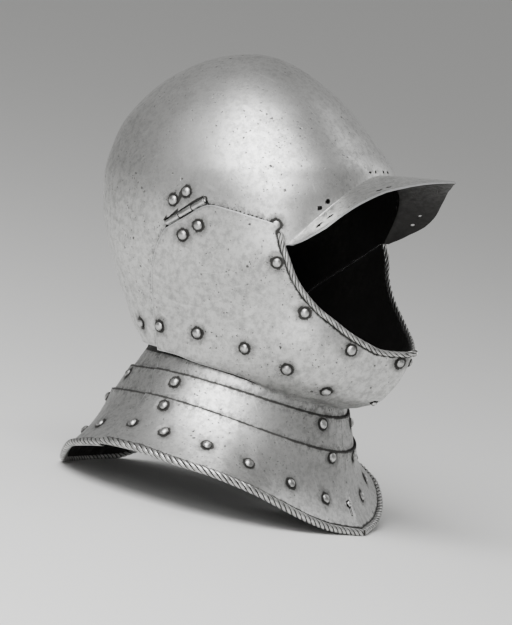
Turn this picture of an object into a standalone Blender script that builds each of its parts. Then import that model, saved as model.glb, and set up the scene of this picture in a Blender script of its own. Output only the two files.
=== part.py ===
"""Close burgonet: a steel helmet with a one-piece skull and fixed peak, two hinged
cheek-pieces that meet at the chin, and a collar of three lames with a roped edge.

Metres, +Z up. The helmet faces -Y and the wearer's right side is -X. Shapes are worked
out upright, as the helmet is worn, and the whole is then tipped back to rest on its rim.
"""
import math

import bmesh
import bpy
from mathutils import Matrix, Vector

MM = 0.001

# Driving sizes
SKULL_LENGTH = 212.6 * MM
SKULL_WIDTH = 189.0 * MM
HEAD_HEIGHT = 252.4 * MM       # crown down to the underside of the chin
CROWN_HEIGHT = 343.4 * MM      # crown above the front point of the rim
PLATE = 1.4 * MM               # thickness of the steel
GAP = 0.3 * MM                 # clearance between pieces that touch
LAP_GAP = 0.6 * MM             # clearance between curved plates that lap
HIDDEN_LAP = 8.0 * MM          # how far a lame runs on under the next one
PEAK_REACH = 59.0 * MM         # peak beyond the brow at its point
PEAK_DROP = 4.5 * MM
BROW_DROP = 47.9 * MM          # fall of the brow crease from the middle to the temple
COLLAR_LENGTH = 226.0 * MM
COLLAR_WIDTH = 248.0 * MM
COLLAR_CENTRE = -24.5 * MM     # middle of the rim, ahead of the ears
RIM_RISE = 100.0 * MM          # the rim table's unit of height
ROPE_RADIUS = 2.8 * MM         # roped edge of the collar
FACE_ROPE_RADIUS = 2.1 * MM    # roped edge of the face-opening
FACE_ROPE_STAND = 0.9 * MM     # its centre line outside the plate
HINGE_RADIUS = 1.7 * MM
HINGE_STAND = 1.2 * MM         # hinge axis outside the skull's surface
WINDOW_HEIGHT = 15.0 * MM      # opening in the skull that the hinge's leaves pass through
WINDOW_SHIFT = -4.2 * MM       # its middle below the hinge's axis
RIVET_RADIUS = 3.5 * MM
RIVET_HEIGHT = 2.4 * MM
WORN_FLAT = 0.35 * MM          # depth worn off the rope where the helmet stands

STEP = PLATE + LAP_GAP         # one layer of overlapping plate
CHEEK_OUT = STEP + 0.4 * MM    # cheek-piece's outer face above the skull's
HALF_LENGTH = SKULL_LENGTH / 2
HALF_WIDTH = SKULL_WIDTH / 2

# Level sections of the head. depth: share of HEAD_HEIGHT below the crown; centre, back and
# front: shares of HALF_LENGTH; width: share of HALF_WIDTH; the last three are the powers
# of the curve behind and ahead of the centre, and the root that makes the front a prow.
HEAD_SECTIONS = (
    # depth, centre, back, front, width, back_power, front_power, front_root
    (0.000, -0.038, 0.000, 0.000, 0.000, 2.20, 2.20, 2.20),
    (0.010, -0.047, 0.185, 0.185, 0.185, 2.20, 2.20, 2.20),
    (0.030, -0.060, 0.320, 0.320, 0.320, 2.20, 2.20, 2.20),
    (0.087, -0.083, 0.548, 0.548, 0.549, 2.20, 2.20, 2.20),
    (0.173, -0.083, 0.758, 0.758, 0.759, 2.20, 2.20, 2.20),
    (0.258, -0.056, 0.891, 0.891, 0.892, 2.20, 2.20, 2.20),
    (0.344, -0.019, 0.978, 0.978, 0.979, 2.25, 2.30, 2.30),
    (0.418, 0.000, 1.000, 0.983, 1.000, 2.30, 2.50, 2.50),
    (0.532, 0.000, 0.963, 0.969, 0.984, 2.30, 2.60, 2.60),
    (0.589, 0.000, 0.927, 1.025, 0.947, 2.30, 2.90, 2.30),
    (0.646, 0.000, 0.894, 1.082, 0.894, 2.30, 3.20, 1.60),
    (0.703, 0.000, 0.848, 1.129, 0.836, 2.30, 3.50, 1.30),
    (0.760, 0.000, 0.808, 1.167, 0.799, 2.30, 3.70, 1.10),
    (0.817, 0.000, 0.728, 1.199, 0.778, 2.30, 3.80, 1.00),
    (0.874, 0.000, 0.706, 1.152, 0.735, 2.30, 3.80, 1.00),
    (0.926, 0.000, 0.706, 1.077, 0.655, 2.30, 3.80, 1.00),
    (0.960, 0.000, 0.706, 1.002, 0.540, 2.30, 3.80, 1.00),
    (0.983, 0.000, 0.706, 0.931, 0.402, 2.30, 3.80, 1.00),
    (1.001, 0.000, 0.706, 0.753, 0.254, 2.30, 3.80, 1.00),
)

# Edge of the peak. bearing: degrees round the section from the front; reach: share of
# PEAK_REACH beyond the crease; drop: share of PEAK_DROP below the crease.
PEAK_EDGE = (
    (0.0, 1.000, 1.00),
    (5.0, 0.870, 0.80),
    (10.0, 0.755, 0.60),
    (13.2, 0.695, 0.48),
    (19.5, 0.585, 0.20),
    (27.5, 0.500, 0.20),
    (34.3, 0.460, 0.35),
    (38.5, 0.365, 0.85),
    (42.3, 0.200, 1.00),
    (48.0, 0.050, 0.25),
)
TEMPLE_BEARING = 48.0
BROW_DEPTH = 0.348             # crease at the middle, share of HEAD_HEIGHT
BROW_POWER = 1.65

# Skull's edge under the cheek-piece. bearing in degrees; depth: share of HEAD_HEIGHT.
SKULL_EDGE = (
    (48.0, 0.538),
    (57.0, 0.561),
    (68.0, 0.597),
    (85.0, 0.675),
    (98.0, 0.775),
    (104.0, 0.836),
)

# Waist of the neck: shares of HEAD_HEIGHT at the back, side and front, and its oval as
# shares of HALF_LENGTH and HALF_WIDTH.
NECK = {"centre": -0.036, "length": 0.692, "width": 0.710, "depths": (0.819, 0.873, 1.000)}
LAME_1 = {"centre": -0.094, "length": 0.762, "width": 0.775, "depths": (0.879, 0.913, 1.035)}
LAME_2 = {"centre": -0.144, "length": 0.847, "width": 0.900, "depths": (0.952, 0.984, 1.133)}

# Centre line of the collar's rope. around: share of the half turn from back to front;
# forward: share of COLLAR_LENGTH / 2 ahead of the ears; out: share of COLLAR_WIDTH / 2;
# up: share of RIM_RISE above the front point.
RIM = (
    # around, forward, out, up
    (0.000, -1.212, 0.000, 0.526),
    (0.103, -1.172, 0.323, 0.531),
    (0.183, -1.055, 0.532, 0.598),
    (0.272, -0.880, 0.726, 0.670),
    (0.375, -0.610, 0.887, 0.680),
    (0.464, -0.327, 0.968, 0.641),
    (0.568, 0.000, 1.000, 0.540),
    (0.643, 0.239, 0.944, 0.454),
    (0.694, 0.381, 0.855, 0.374),
    (0.726, 0.460, 0.790, 0.320),
    (0.809, 0.611, 0.565, 0.166),
    (0.854, 0.664, 0.435, 0.101),
    (0.898, 0.704, 0.306, 0.054),
    (0.952, 0.743, 0.145, 0.022),
    (1.000, 0.783, 0.000, 0.000),
)
# Where the front half-lames begin, share of the half turn from the back, at each seam.
SPLIT = {"neck": 0.326, "lame_1": 0.358, "lame_2": 0.393, "rim": 0.390}
SPLIT_LAP = 0.030              # overlap of a front half over a rear one, share of the turn
ROPE_BREAK = 0.004             # break in the rope at the split, share of the turn
STRIP_DROP = {False: 0.10, True: 0.05}  # upper edge of a lapped strip below its seam
# Levels of the grid down each plate of the collar: 0 at the neck, 1 and 2 at the seams and
# 3 at the rim. Below 0 and past its own seam a lame runs on out of sight.
LAME_1_LEVELS = (-0.25, 0.0, 0.5, 1.0, 1.4)
LAME_2_LEVELS = (1.0, 1.5, 2.0, 2.11)
GORGET_LEVELS = (2.0, 2.25, 2.5, 2.75, 3.0)
OVER_TURN = 0.004              # front halves are worked past the middle, then trimmed
OVER_MIDDLE = 2.5 * MM
FLARE_SAG = 0.035              # hollow of the collar's flare, share of COLLAR_WIDTH / 2

# Cheek-piece seen from the side, from its rear edge round to the chin. Each row pairs a
# point of the upper edge with one of the lower: ahead is a share of HALF_LENGTH from the
# ears, depth a share of HEAD_HEIGHT.
CHEEK_EDGES = (
    # top_ahead, top_depth, low_ahead, low_depth
    (-0.203, 0.495, -0.397, 0.840),
    (-0.055, 0.464, -0.240, 0.852),
    (0.123, 0.431, -0.095, 0.873),
    (0.267, 0.444, 0.088, 0.894),
    (0.398, 0.461, 0.245, 0.914),
    (0.575, 0.492, 0.370, 0.939),
    (0.604, 0.549, 0.460, 0.958),
    (0.632, 0.588, 0.530, 0.973),
    (0.661, 0.641, 0.580, 0.983),
    (0.710, 0.686, 0.640, 0.992),
    (0.770, 0.725, 0.720, 1.000),
    (0.838, 0.757, 0.800, 0.998),
    (0.921, 0.796, 0.889, 0.993),
    (1.000, 0.824, 0.957, 0.980),
    (1.065, 0.843, 1.039, 0.947),
    (1.150, 0.849, 1.105, 0.905),
    (1.199, 0.840, 1.199, 0.842),
)
RIDGE_START = 0.66             # place in the table where the lower edge turns up the ridge
ROPE_START = 8                 # column of the cheek-piece's grid where its rope begins
REAR_BOW = 0.085               # bow of the cheek-piece's rear edge, share of HALF_LENGTH

# Ends of the hinge barrel: ahead as a share of HALF_LENGTH, depth of HEAD_HEIGHT.
HINGE_REAR = (-0.205, 0.482)
HINGE_FRONT = (0.090, 0.419)

# Rivets on one side: name, plate, ahead (share of HALF_LENGTH), depth (of HEAD_HEIGHT).
RIVETS = (
    ("hinge_rivet_1", "skull", -0.154, 0.417),
    ("hinge_rivet_2", "skull", -0.055, 0.394),
    ("nape_rivet", "skull", -0.566, 0.768),
    ("hinge_rivet_3", "cheek", -0.074, 0.515),
    ("hinge_rivet_4", "cheek", 0.043, 0.488),
    ("face_rivet_1", "cheek", 0.565, 0.591),
    ("face_rivet_2", "cheek", 0.696, 0.733),
    ("face_rivet_3", "cheek", 0.931, 0.837),
    ("face_rivet_4", "cheek", 1.122, 0.874),
    ("neck_rivet_1", "cheek", -0.355, 0.773),
    ("neck_rivet_2", "cheek", -0.056, 0.792),
    ("neck_rivet_3", "cheek", 0.286, 0.833),
    ("neck_rivet_4", "cheek", 0.554, 0.890),
    ("neck_rivet_5", "cheek", 0.732, 0.950),
)

# Colour and roughness of each finish.
FINISHES = {
    "skull_steel": ((0.58, 0.59, 0.60, 1.0), 0.34),
    "cheek_steel": ((0.56, 0.57, 0.58, 1.0), 0.35),
    "lame_steel": ((0.52, 0.53, 0.54, 1.0), 0.37),
    "gorget_steel": ((0.54, 0.55, 0.56, 1.0), 0.36),
    "hinge_steel": ((0.45, 0.46, 0.47, 1.0), 0.38),
    "rivet_steel": ((0.60, 0.61, 0.62, 1.0), 0.30),
}


def clear_scene():
    for obj in list(bpy.data.objects):
        bpy.data.objects.remove(obj, do_unlink=True)


def spline(table, column, at):
    """Smooth value of one column of a table at a place along its first column."""
    rows = len(table)
    i = 0
    while i < rows - 2 and at > table[i + 1][0]:
        i += 1
    x0, x1 = table[i][0], table[i + 1][0]
    y0, y1 = table[i][column], table[i + 1][column]
    slope = (y1 - y0) / (x1 - x0)

    def tangent(j):
        if j == 0 or j == rows - 1:
            k = min(j, rows - 2)
            return (table[k + 1][column] - table[k][column]) / (table[k + 1][0] - table[k][0])
        before = (table[j][column] - table[j - 1][column]) / (table[j][0] - table[j - 1][0])
        after = (table[j + 1][column] - table[j][column]) / (table[j + 1][0] - table[j][0])
        if before * after <= 0:
            return 0.0
        return 2 * before * after / (before + after)

    m0, m1 = tangent(i), tangent(i + 1)
    t = (at - x0) / (x1 - x0)
    h = x1 - x0
    if t <= 0 or t >= 1:
        return y0 + slope * h * min(max(t, 0), 1)
    return ((2 * t ** 3 - 3 * t ** 2 + 1) * y0 + (t ** 3 - 2 * t ** 2 + t) * h * m0
            + (3 * t ** 2 - 2 * t ** 3) * y1 + (t ** 3 - t ** 2) * h * m1)


def level(depth):
    """Height of a depth that is a share of HEAD_HEIGHT below the crown."""
    return CROWN_HEIGHT - depth * HEAD_HEIGHT


def section(depth):
    """Centre, back, front and width of the head at a depth, with the curve's powers."""
    crown = HEAD_SECTIONS[1][0]
    rounding = min(math.sqrt(max(depth, 0.0) / crown), 1.0)
    depth = max(depth, crown)
    centre, back, front, width = (spline(HEAD_SECTIONS, k, depth) for k in range(1, 5))
    back, front, width = back * rounding, front * rounding, width * rounding
    powers = tuple(spline(HEAD_SECTIONS, k, depth) for k in range(5, 8))
    return (centre * HALF_LENGTH, back * HALF_LENGTH, front * HALF_LENGTH,
            width * HALF_WIDTH) + powers


def half_width(ahead, depth):
    """Half-width of the skull at a place ahead of the ears (metres) and a depth."""
    centre, back, front, width, back_power, front_power, front_root = section(depth)
    if ahead < centre:
        share = min((centre - ahead) / back, 1.0)
        return width * (1 - share ** back_power) ** (1 / back_power)
    share = (ahead - centre) / front
    if share > 1:
        return -width * front_power * (share - 1)
    return width * (1 - share ** front_power) ** (1 / front_root)


def head_point(ahead, depth, side=1, out=0.0):
    """Point on the head's right side, moved out along the surface's normal.

    side is 1 for the wearer's right and -1 for the left.
    """
    small = 0.5 * MM
    x = half_width(ahead, depth)
    along = (half_width(ahead + small, depth) - half_width(ahead - small, depth)) / (2 * small)
    step = small / HEAD_HEIGHT
    down = (half_width(ahead, depth + step) - half_width(ahead, depth - step)) / (2 * small)
    normal = Vector((1.0, -along, down)).normalized()
    place = Vector((x, ahead, level(depth))) + normal * out
    return Vector((-side * place.x, -place.y, place.z))


def ring_point(bearing, depth, out=0.0):
    """Point on the skull at a bearing (degrees from the front) and a depth."""
    centre, back, front, width, back_power, front_power, front_root = section(depth)
    turn = math.cos(math.radians(bearing))
    reach = front if turn > 0 else back
    power = front_power if turn > 0 else back_power
    root = front_root if turn > 0 else back_power
    x = width * max(1 - abs(turn) ** power, 0.0) ** (1 / root)
    return Vector((-(x + out * math.sin(math.radians(bearing))),
                   -(centre + (reach + out) * turn), level(depth)))


def brow_depth(bearing):
    """Depth of the crease between skull and peak."""
    fall = BROW_DROP / HEAD_HEIGHT
    return BROW_DEPTH + fall * (bearing / TEMPLE_BEARING) ** BROW_POWER


def neck_depth(ahead):
    """Depth of the waist line that the skull and cheek-pieces end on."""
    back = (NECK["centre"] - NECK["length"]) * HALF_LENGTH
    share = (ahead - back) / (2 * NECK["length"] * HALF_LENGTH)
    return oval_depth(NECK, min(max(share, 0.0), 1.0))


def oval_depth(oval, share):
    back, side, front = oval["depths"]
    bend = 2 * (front + back - 2 * side)
    return back + (front - back - bend) * share + bend * share * share


def skull_edge_depth(bearing):
    if bearing <= SKULL_EDGE[-1][0]:
        return spline(SKULL_EDGE, 1, bearing)
    centre, back = section(NECK["depths"][0])[:2]
    ahead = centre + back * math.cos(math.radians(bearing))
    last = SKULL_EDGE[-1]
    fade = min((bearing - last[0]) / 8.0, 1.0)
    return last[1] + (neck_depth(ahead) - last[1]) * fade


def oval_point(oval, around, out=0.0):
    """Point on a neck oval; around runs 0 at the back to 1 at the front."""
    angle = math.pi * around
    length = oval["length"] * HALF_LENGTH + out
    width = oval["width"] * HALF_WIDTH + out
    ahead = oval["centre"] * HALF_LENGTH - length * math.cos(angle)
    share = (1 - math.cos(angle)) / 2
    return Vector((-width * math.sin(angle), -ahead, level(oval_depth(oval, share))))


def rim_point(around):
    if around > 1:
        point = rim_point(2 - around)
        return Vector((-point.x, point.y, point.z))
    forward = spline(RIM, 1, around) * COLLAR_LENGTH / 2
    out = spline(RIM, 2, around) * COLLAR_WIDTH / 2
    up = spline(RIM, 3, around) * RIM_RISE
    return Vector((-out, -forward, up))


def attach(obj, parent):
    """Parent a piece whose mesh is in worn coordinates to the stand or to a pivot on it."""
    obj.parent = parent
    if parent.parent:
        obj.location = -parent.location


def new_object(name, mesh, finish, parent):
    obj = bpy.data.objects.new(name, mesh)
    mesh.materials.append(bpy.data.materials.get(finish) or make_material(finish))
    bpy.data.collections["close_burgonet"].objects.link(obj)
    attach(obj, parent)
    return obj


def new_empty(name, place, parent=None):
    empty = bpy.data.objects.new(name, None)
    bpy.data.collections["close_burgonet"].objects.link(empty)
    empty.location = place
    empty.parent = parent
    return empty


def make_material(name):
    colour, roughness = FINISHES[name]
    material = bpy.data.materials.new(name)
    material.use_nodes = True
    shader = material.node_tree.nodes["Principled BSDF"]
    shader.inputs["Base Color"].default_value = colour
    shader.inputs["Metallic"].default_value = 1.0
    shader.inputs["Roughness"].default_value = roughness
    return material


def sheet_mesh(name, rows, inside, closed=False):
    """Open grid through rows of points, facing away from the point inside."""
    mesh = bpy.data.meshes.new(name)
    bm = bmesh.new()
    grid = [[bm.verts.new(point) for point in row] for row in rows]
    count = len(rows[0])
    for upper, lower in zip(grid, grid[1:]):
        for i in range(count if closed else count - 1):
            j = (i + 1) % count
            bm.faces.new((upper[i], upper[j], lower[j], lower[i]))
    bmesh.ops.remove_doubles(bm, verts=bm.verts, dist=0.02 * MM)
    bmesh.ops.dissolve_degenerate(bm, edges=bm.edges, dist=0.01 * MM)
    bm.normal_update()
    facing = sum(f.normal.dot(f.calc_center_median() - inside) * f.calc_area() for f in bm.faces)
    if facing < 0:
        bmesh.ops.reverse_faces(bm, faces=bm.faces)
    bm.to_mesh(mesh)
    bm.free()
    return mesh


def plate(name, rows, inside, finish, parent, closed=False):
    """Steel plate whose outer face is the grid."""
    obj = new_object(name, sheet_mesh(name, rows, inside, closed), finish, parent)
    wall = obj.modifiers.new("wall", "SOLIDIFY")
    wall.thickness = PLATE
    wall.offset = -1
    wall.use_even_offset = True
    return obj


def hidden_mesh_object(name, mesh):
    obj = bpy.data.objects.new(name, mesh)
    bpy.data.collections["cutters"].objects.link(obj)
    obj.hide_render = True
    obj.display_type = "WIRE"
    return obj


def tube(name, points, radius, resolution=1):
    """Closed round bar along a smooth row of points, as a mesh object."""
    curve = bpy.data.curves.new(name, "CURVE")
    curve.dimensions = "3D"
    curve.bevel_depth = radius
    curve.bevel_resolution = resolution
    curve.use_fill_caps = True
    line = curve.splines.new("POLY")
    line.points.add(len(points) - 1)
    for knot, point in zip(line.points, points):
        knot.co = (*point, 1.0)
    obj = bpy.data.objects.new(name, curve)
    bpy.context.scene.collection.objects.link(obj)
    bpy.context.view_layer.update()
    mesh = bpy.data.meshes.new_from_object(obj.evaluated_get(
        bpy.context.evaluated_depsgraph_get()))
    bm = bmesh.new()
    bm.from_mesh(mesh)
    bmesh.ops.remove_doubles(bm, verts=bm.verts, dist=0.02 * MM)
    bm.to_mesh(mesh)
    bm.free()
    bpy.data.objects.remove(obj, do_unlink=True)
    return hidden_mesh_object(name, mesh)


def join_solid(obj, other, operation="UNION"):
    attach(other, obj.parent)
    cut = obj.modifiers.new(operation.lower(), "BOOLEAN")
    cut.operation = operation
    cut.object = other
    cut.solver = "EXACT"


def trim(obj, cutter):
    cut = obj.modifiers.new("trim", "BOOLEAN")
    cut.operation = "DIFFERENCE"
    cut.object = cutter
    cut.solver = "EXACT"


def block(name, centre, size, turn=None):
    """Box cutter or strap; turn is a rotation matrix."""
    bm = bmesh.new()
    bmesh.ops.create_cube(bm, size=1.0)
    matrix = Matrix.Translation(centre) @ (turn or Matrix()) @ Matrix.Diagonal((*size, 1.0))
    bmesh.ops.transform(bm, matrix=matrix, verts=bm.verts)
    mesh = bpy.data.meshes.new(name)
    bm.to_mesh(mesh)
    bm.free()
    return hidden_mesh_object(name, mesh)


def hinge_line(side):
    """Ends of the hinge's axis, just outside the skull."""
    ends = []
    for ahead, depth in (HINGE_REAR, HINGE_FRONT):
        ends.append(head_point(ahead * HALF_LENGTH, depth, side, HINGE_STAND))
    return ends


def hinge_frame(side):
    """Rotation whose X runs along the barrel and whose Z points out of the skull."""
    rear, front = hinge_line(side)
    along = (front - rear).normalized() * side
    out = Vector((-side, 0.0, 0.0))
    out = (out - along * out.dot(along)).normalized()
    across = out.cross(along)
    return Matrix((along, across, out)).transposed().to_4x4(), (rear + front) / 2, (
        front - rear).length


def make_skull(parent):
    """Skull and peak in one sheet, from the crown down to the lower edge."""
    columns = 48
    dome_rows = 15
    peak_rows = 3
    inside = Vector((0.0, 0.0, level(0.42)))
    rows = [[] for _ in range(dome_rows + 1 + peak_rows)]
    for column in range(columns):
        angle = 360.0 * column / columns
        bearing = min(angle, 360.0 - angle)
        mirror = 1 if angle <= 180 else -1
        # The column nearest each temple stands exactly on the corner of the peak.
        if abs(bearing - TEMPLE_BEARING) < 180.0 / columns:
            bearing = TEMPLE_BEARING
        if bearing <= TEMPLE_BEARING:
            edge = brow_depth(bearing)
        else:
            edge = skull_edge_depth(bearing)
        for i in range(dome_rows + 1):
            share = (i / dome_rows) ** 1.2
            point = ring_point(bearing, max(edge * share, 1e-6))
            rows[i].append(Vector((point.x * mirror, point.y, point.z)))
        crease = ring_point(bearing, edge)
        outward = Vector((crease.x, crease.y, 0.0)).normalized()
        for i in range(1, peak_rows + 1):
            if bearing <= TEMPLE_BEARING:
                share = i / peak_rows
                reach = spline(PEAK_EDGE, 1, bearing) * PEAK_REACH * share
                drop = spline(PEAK_EDGE, 2, bearing) * PEAK_DROP * share ** 1.5
                point = crease + outward * reach - Vector((0.0, 0.0, drop))
            else:
                point = crease
            rows[dome_rows + i].append(Vector((point.x * mirror, point.y, point.z)))
    skull = plate("skull", rows, inside, "skull_steel", parent, closed=True)
    for side in (1, -1):
        turn, centre, length = hinge_frame(side)
        middle = centre + turn.to_3x3() @ Vector((0, WINDOW_SHIFT, 0))
        window = block("hinge_window", middle, (length + 2 * MM, WINDOW_HEIGHT, 12 * MM), turn)
        join_solid(skull, window, "DIFFERENCE")
    return skull


def ridge_ahead(depth):
    """Just past the ridge where the two cheek-pieces meet."""
    centre, _, front = section(depth)[:3]
    return centre + front + OVER_MIDDLE


def cheek_rows(side, out):
    columns = 24
    rows_down = 12
    table = [(i / (len(CHEEK_EDGES) - 1), *row) for i, row in enumerate(CHEEK_EDGES)]
    rows = [[] for _ in range(rows_down + 1)]
    for column in range(columns + 1):
        place = column / columns
        top_ahead, top_depth, low_ahead, low_depth = (
            spline(table, k, place) for k in range(1, 5))
        if place >= RIDGE_START:
            low_ahead = ridge_ahead(low_depth) / HALF_LENGTH
        for i in range(rows_down + 1):
            share = i / rows_down
            ahead = top_ahead + (low_ahead - top_ahead) * share
            depth = top_depth + (low_depth - top_depth) * share
            bow = REAR_BOW * math.sin(math.pi * share ** 0.8) * max(0.0, 1 - place * 4)
            ahead = min((ahead - bow) * HALF_LENGTH, ridge_ahead(depth))
            rows[i].append(head_point(ahead, depth, side, out))
    return rows


def make_cheek(name, side, parent, middle_cut):
    rows = cheek_rows(side, CHEEK_OUT)
    inside = Vector((0.0, 0.0, level(0.7)))
    cheek = plate(name, rows, inside, "cheek_steel", parent)
    middle = cheek_rows(side, CHEEK_OUT + FACE_ROPE_STAND)
    start = ROPE_START
    rope = tube(name + "_rope", middle[0][start:], FACE_ROPE_RADIUS)
    join_solid(cheek, rope)
    trim(cheek, middle_cut)
    return cheek


def collar_base(around, down):
    """Point of the collar: down is 0 at the neck, 1 and 2 at the seams, 3 at the rim."""
    if down < 0:
        return oval_point(NECK, around, 2 * STEP) - Vector((0.0, 0.0, down * 4 * HIDDEN_LAP))
    stops = (oval_point(NECK, around, 2 * STEP), oval_point(LAME_1, around, STEP),
             oval_point(LAME_2, around), rim_point(around))
    if down <= 2:
        k = min(int(down), 1)
        return stops[k].lerp(stops[k + 1], down - k)
    share = down - 2
    point = stops[2].lerp(stops[3], share)
    sag = FLARE_SAG * COLLAR_WIDTH / 2 * 4 * share * (1 - share)
    flat = Vector((point.x, point.y + COLLAR_CENTRE, 0.0))
    return point - flat.normalized() * sag


def collar_point(around, down, side, out):
    """Point of the collar moved out along its normal."""
    turn, fall = 0.004, 0.02
    point = collar_base(around, down)
    along = collar_base(around + turn, down) - collar_base(max(around - turn, -turn), down)
    below = collar_base(around, min(down + fall, 3.0)) - collar_base(around, min(down, 3.0) - fall)
    normal = below.cross(along)
    if normal.dot(Vector((point.x, point.y + COLLAR_CENTRE, 0.0))) < 0:
        normal.negate()
    point = point + normal.normalized() * out
    return Vector((point.x * side, point.y, point.z))


def split_at(down):
    marks = ((-1.0, SPLIT["neck"]), (0.0, SPLIT["neck"]), (1.0, SPLIT["lame_1"]),
             (2.0, SPLIT["lame_2"]), (3.0, SPLIT["rim"]))
    return spline(marks, 1, down)


def rear_rows(downs, out, count, rope):
    """Right half of a rear lame; its last columns are the strip under the front half."""
    rows = []
    top, bottom = downs[0], downs[-1]
    whole = count - 2
    for down in downs:
        row = []
        for column in range(count + 1):
            if column <= whole:
                place = down
                around = (split_at(down) - ROPE_BREAK) * column / whole
            else:
                # The strip is cut back clear of the front half's rope and of the lame above.
                low = bottom - 0.08 if rope else bottom
                high = top if top < 0 else top + STRIP_DROP[rope]
                place = high + (low - high) * (down - top) / (bottom - top)
                start = split_at(place) - 0.75 * ROPE_BREAK
                around = start + (SPLIT_LAP + ROPE_BREAK) * (column - whole - 1)
            row.append(collar_point(around, place, 1, out))
        rows.append(row)
    return rows


def front_rows(side, downs, out, count, rope):
    """A front half-lame; where it laps the rear one its hidden edge is cut short."""
    rows = []
    lap = ROPE_BREAK * 2 + SPLIT_LAP
    for down in downs:
        row = []
        for column in range(count + 1):
            place = down
            if column <= 2 and not rope:
                place = min(down, math.floor(downs[-1]) + 0.02)
            start = split_at(place)
            if column <= 2:
                around = start + lap * column / 2
            else:
                share = (column - 2) / (count - 2)
                around = start + lap + (1 + OVER_TURN - start - lap) * share
            row.append(collar_point(around, place, side, out))
        rows.append(row)
    return rows


def mirror_rows(rows):
    """Rows of a right half carried on round the back to the left."""
    full = []
    for row in rows:
        left = [Vector((-p.x, p.y, p.z)) for p in row]
        full.append(list(reversed(left)) + row[1:])
    return full


def make_rear_lame(name, downs, out, parent, rope=False):
    rows = mirror_rows(rear_rows(downs, out, 14, rope))
    inside = Vector((0.0, 0.0, rows[0][0].z + 0.03))
    lame = plate(name, rows, inside, "gorget_steel" if rope else "lame_steel", parent)
    if rope:
        middle = rear_rows(downs[-2:], out - PLATE / 2, 20, False)
        line = mirror_rows([middle[-1][:-2]])[0]
        join_solid(lame, tube(name + "_rope", line, ROPE_RADIUS))
    return lame


def make_front_lame(name, side, downs, out, parent, middle_cut, rope=False):
    rows = front_rows(side, downs, out, 18, rope)
    inside = Vector((0.0, 0.0, rows[0][0].z + 0.03))
    lame = plate(name, rows, inside, "gorget_steel" if rope else "lame_steel", parent)
    if rope:
        line = front_rows(side, downs[-2:], out - PLATE / 2, 24, True)[-1]
        join_solid(lame, tube(name + "_rope", line, ROPE_RADIUS))
    trim(lame, middle_cut)
    return lame


def make_rivet(name, side, on_cheek, ahead, depth, parent):
    """Low domed rivet head that lies on its plate."""
    out = (CHEEK_OUT if on_cheek else 0.0) + GAP
    foot = head_point(ahead * HALF_LENGTH, depth, side, out)
    tip = head_point(ahead * HALF_LENGTH, depth, side, out + RIVET_HEIGHT)
    bm = bmesh.new()
    bmesh.ops.create_uvsphere(bm, u_segments=8, v_segments=6, radius=1.0)
    low = [v for v in bm.verts if v.co.z < -0.01]
    bmesh.ops.delete(bm, geom=low, context="VERTS")
    rim = [e for e in bm.edges if e.is_boundary]
    bmesh.ops.contextual_create(bm, geom=rim)
    turn = (tip - foot).to_track_quat("Z", "Y").to_matrix().to_4x4()
    size = Matrix.Diagonal((RIVET_RADIUS, RIVET_RADIUS, RIVET_HEIGHT, 1.0))
    bmesh.ops.transform(bm, matrix=Matrix.Translation(foot) @ turn @ size, verts=bm.verts)
    bmesh.ops.recalc_face_normals(bm, faces=bm.faces)
    mesh = bpy.data.meshes.new(name)
    bm.to_mesh(mesh)
    bm.free()
    return new_object(name, mesh, "rivet_steel", parent)


def make_hinge(side, label, stand, pivot):
    """Two leaves whose solid knuckles stand in line on the hinge's axis."""
    turn, centre, length = hinge_frame(side)
    spin = turn.to_3x3()
    knuckle = length / 3
    for leaf, slots, lean, parent in (("skull", (1,), 1, stand), ("cheek", (0, 2), -1, pivot)):
        name = "hinge_leaf_%s_%s" % (leaf, label)
        # The leaf lies inside the skull above the barrel, or inside the cheek-piece below.
        depth_in = HINGE_STAND + (PLATE + 2.6 * MM if leaf == "skull" else 2.8 * MM)
        place = centre + spin @ Vector((0.0, lean * 5.0 * MM, -depth_in))
        body = block(name + "_strap", place, (length - 2 * MM, 9 * MM, 1.2 * MM), turn)
        mesh = body.data.copy()
        bpy.data.objects.remove(body, do_unlink=True)
        obj = new_object(name, mesh, "hinge_steel", parent)
        for slot in slots:
            middle = (slot - 1) * knuckle
            ends = [centre + spin @ Vector((middle + end * (knuckle - 2 * GAP) / 2, 0, 0))
                    for end in (-1, 1)]
            barrel = tube(name + "_knuckle", ends, HINGE_RADIUS, 2)
            arm_place = centre + spin @ Vector((middle, lean * 1.6 * MM, -depth_in / 2))
            arm = block(name + "_arm", arm_place,
                        (knuckle - 4 * GAP, 1.6 * MM, depth_in + 0.6 * MM), turn)
            join_solid(obj, barrel)
            join_solid(obj, arm)


def rest_pose():
    """Tilt and lift that stand the collar's front point and rear edge on the ground."""
    front = rim_point(1.0)
    back = rim_point(0.0)
    tilt = math.atan2(back.z - front.z, back.y - front.y)
    lift = front.y * math.sin(-tilt) + front.z * math.cos(-tilt)
    return -tilt, ROPE_RADIUS - WORN_FLAT - lift


def centre_on_origin(skull, stand):
    """Move the whole so that the origin is under the middle of its length."""
    bpy.context.view_layer.update()
    shape = skull.evaluated_get(bpy.context.evaluated_depsgraph_get())
    places = [(skull.matrix_world @ v.co).y for v in shape.data.vertices]
    stand.location.y -= (min(places) + max(places)) / 2


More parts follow.
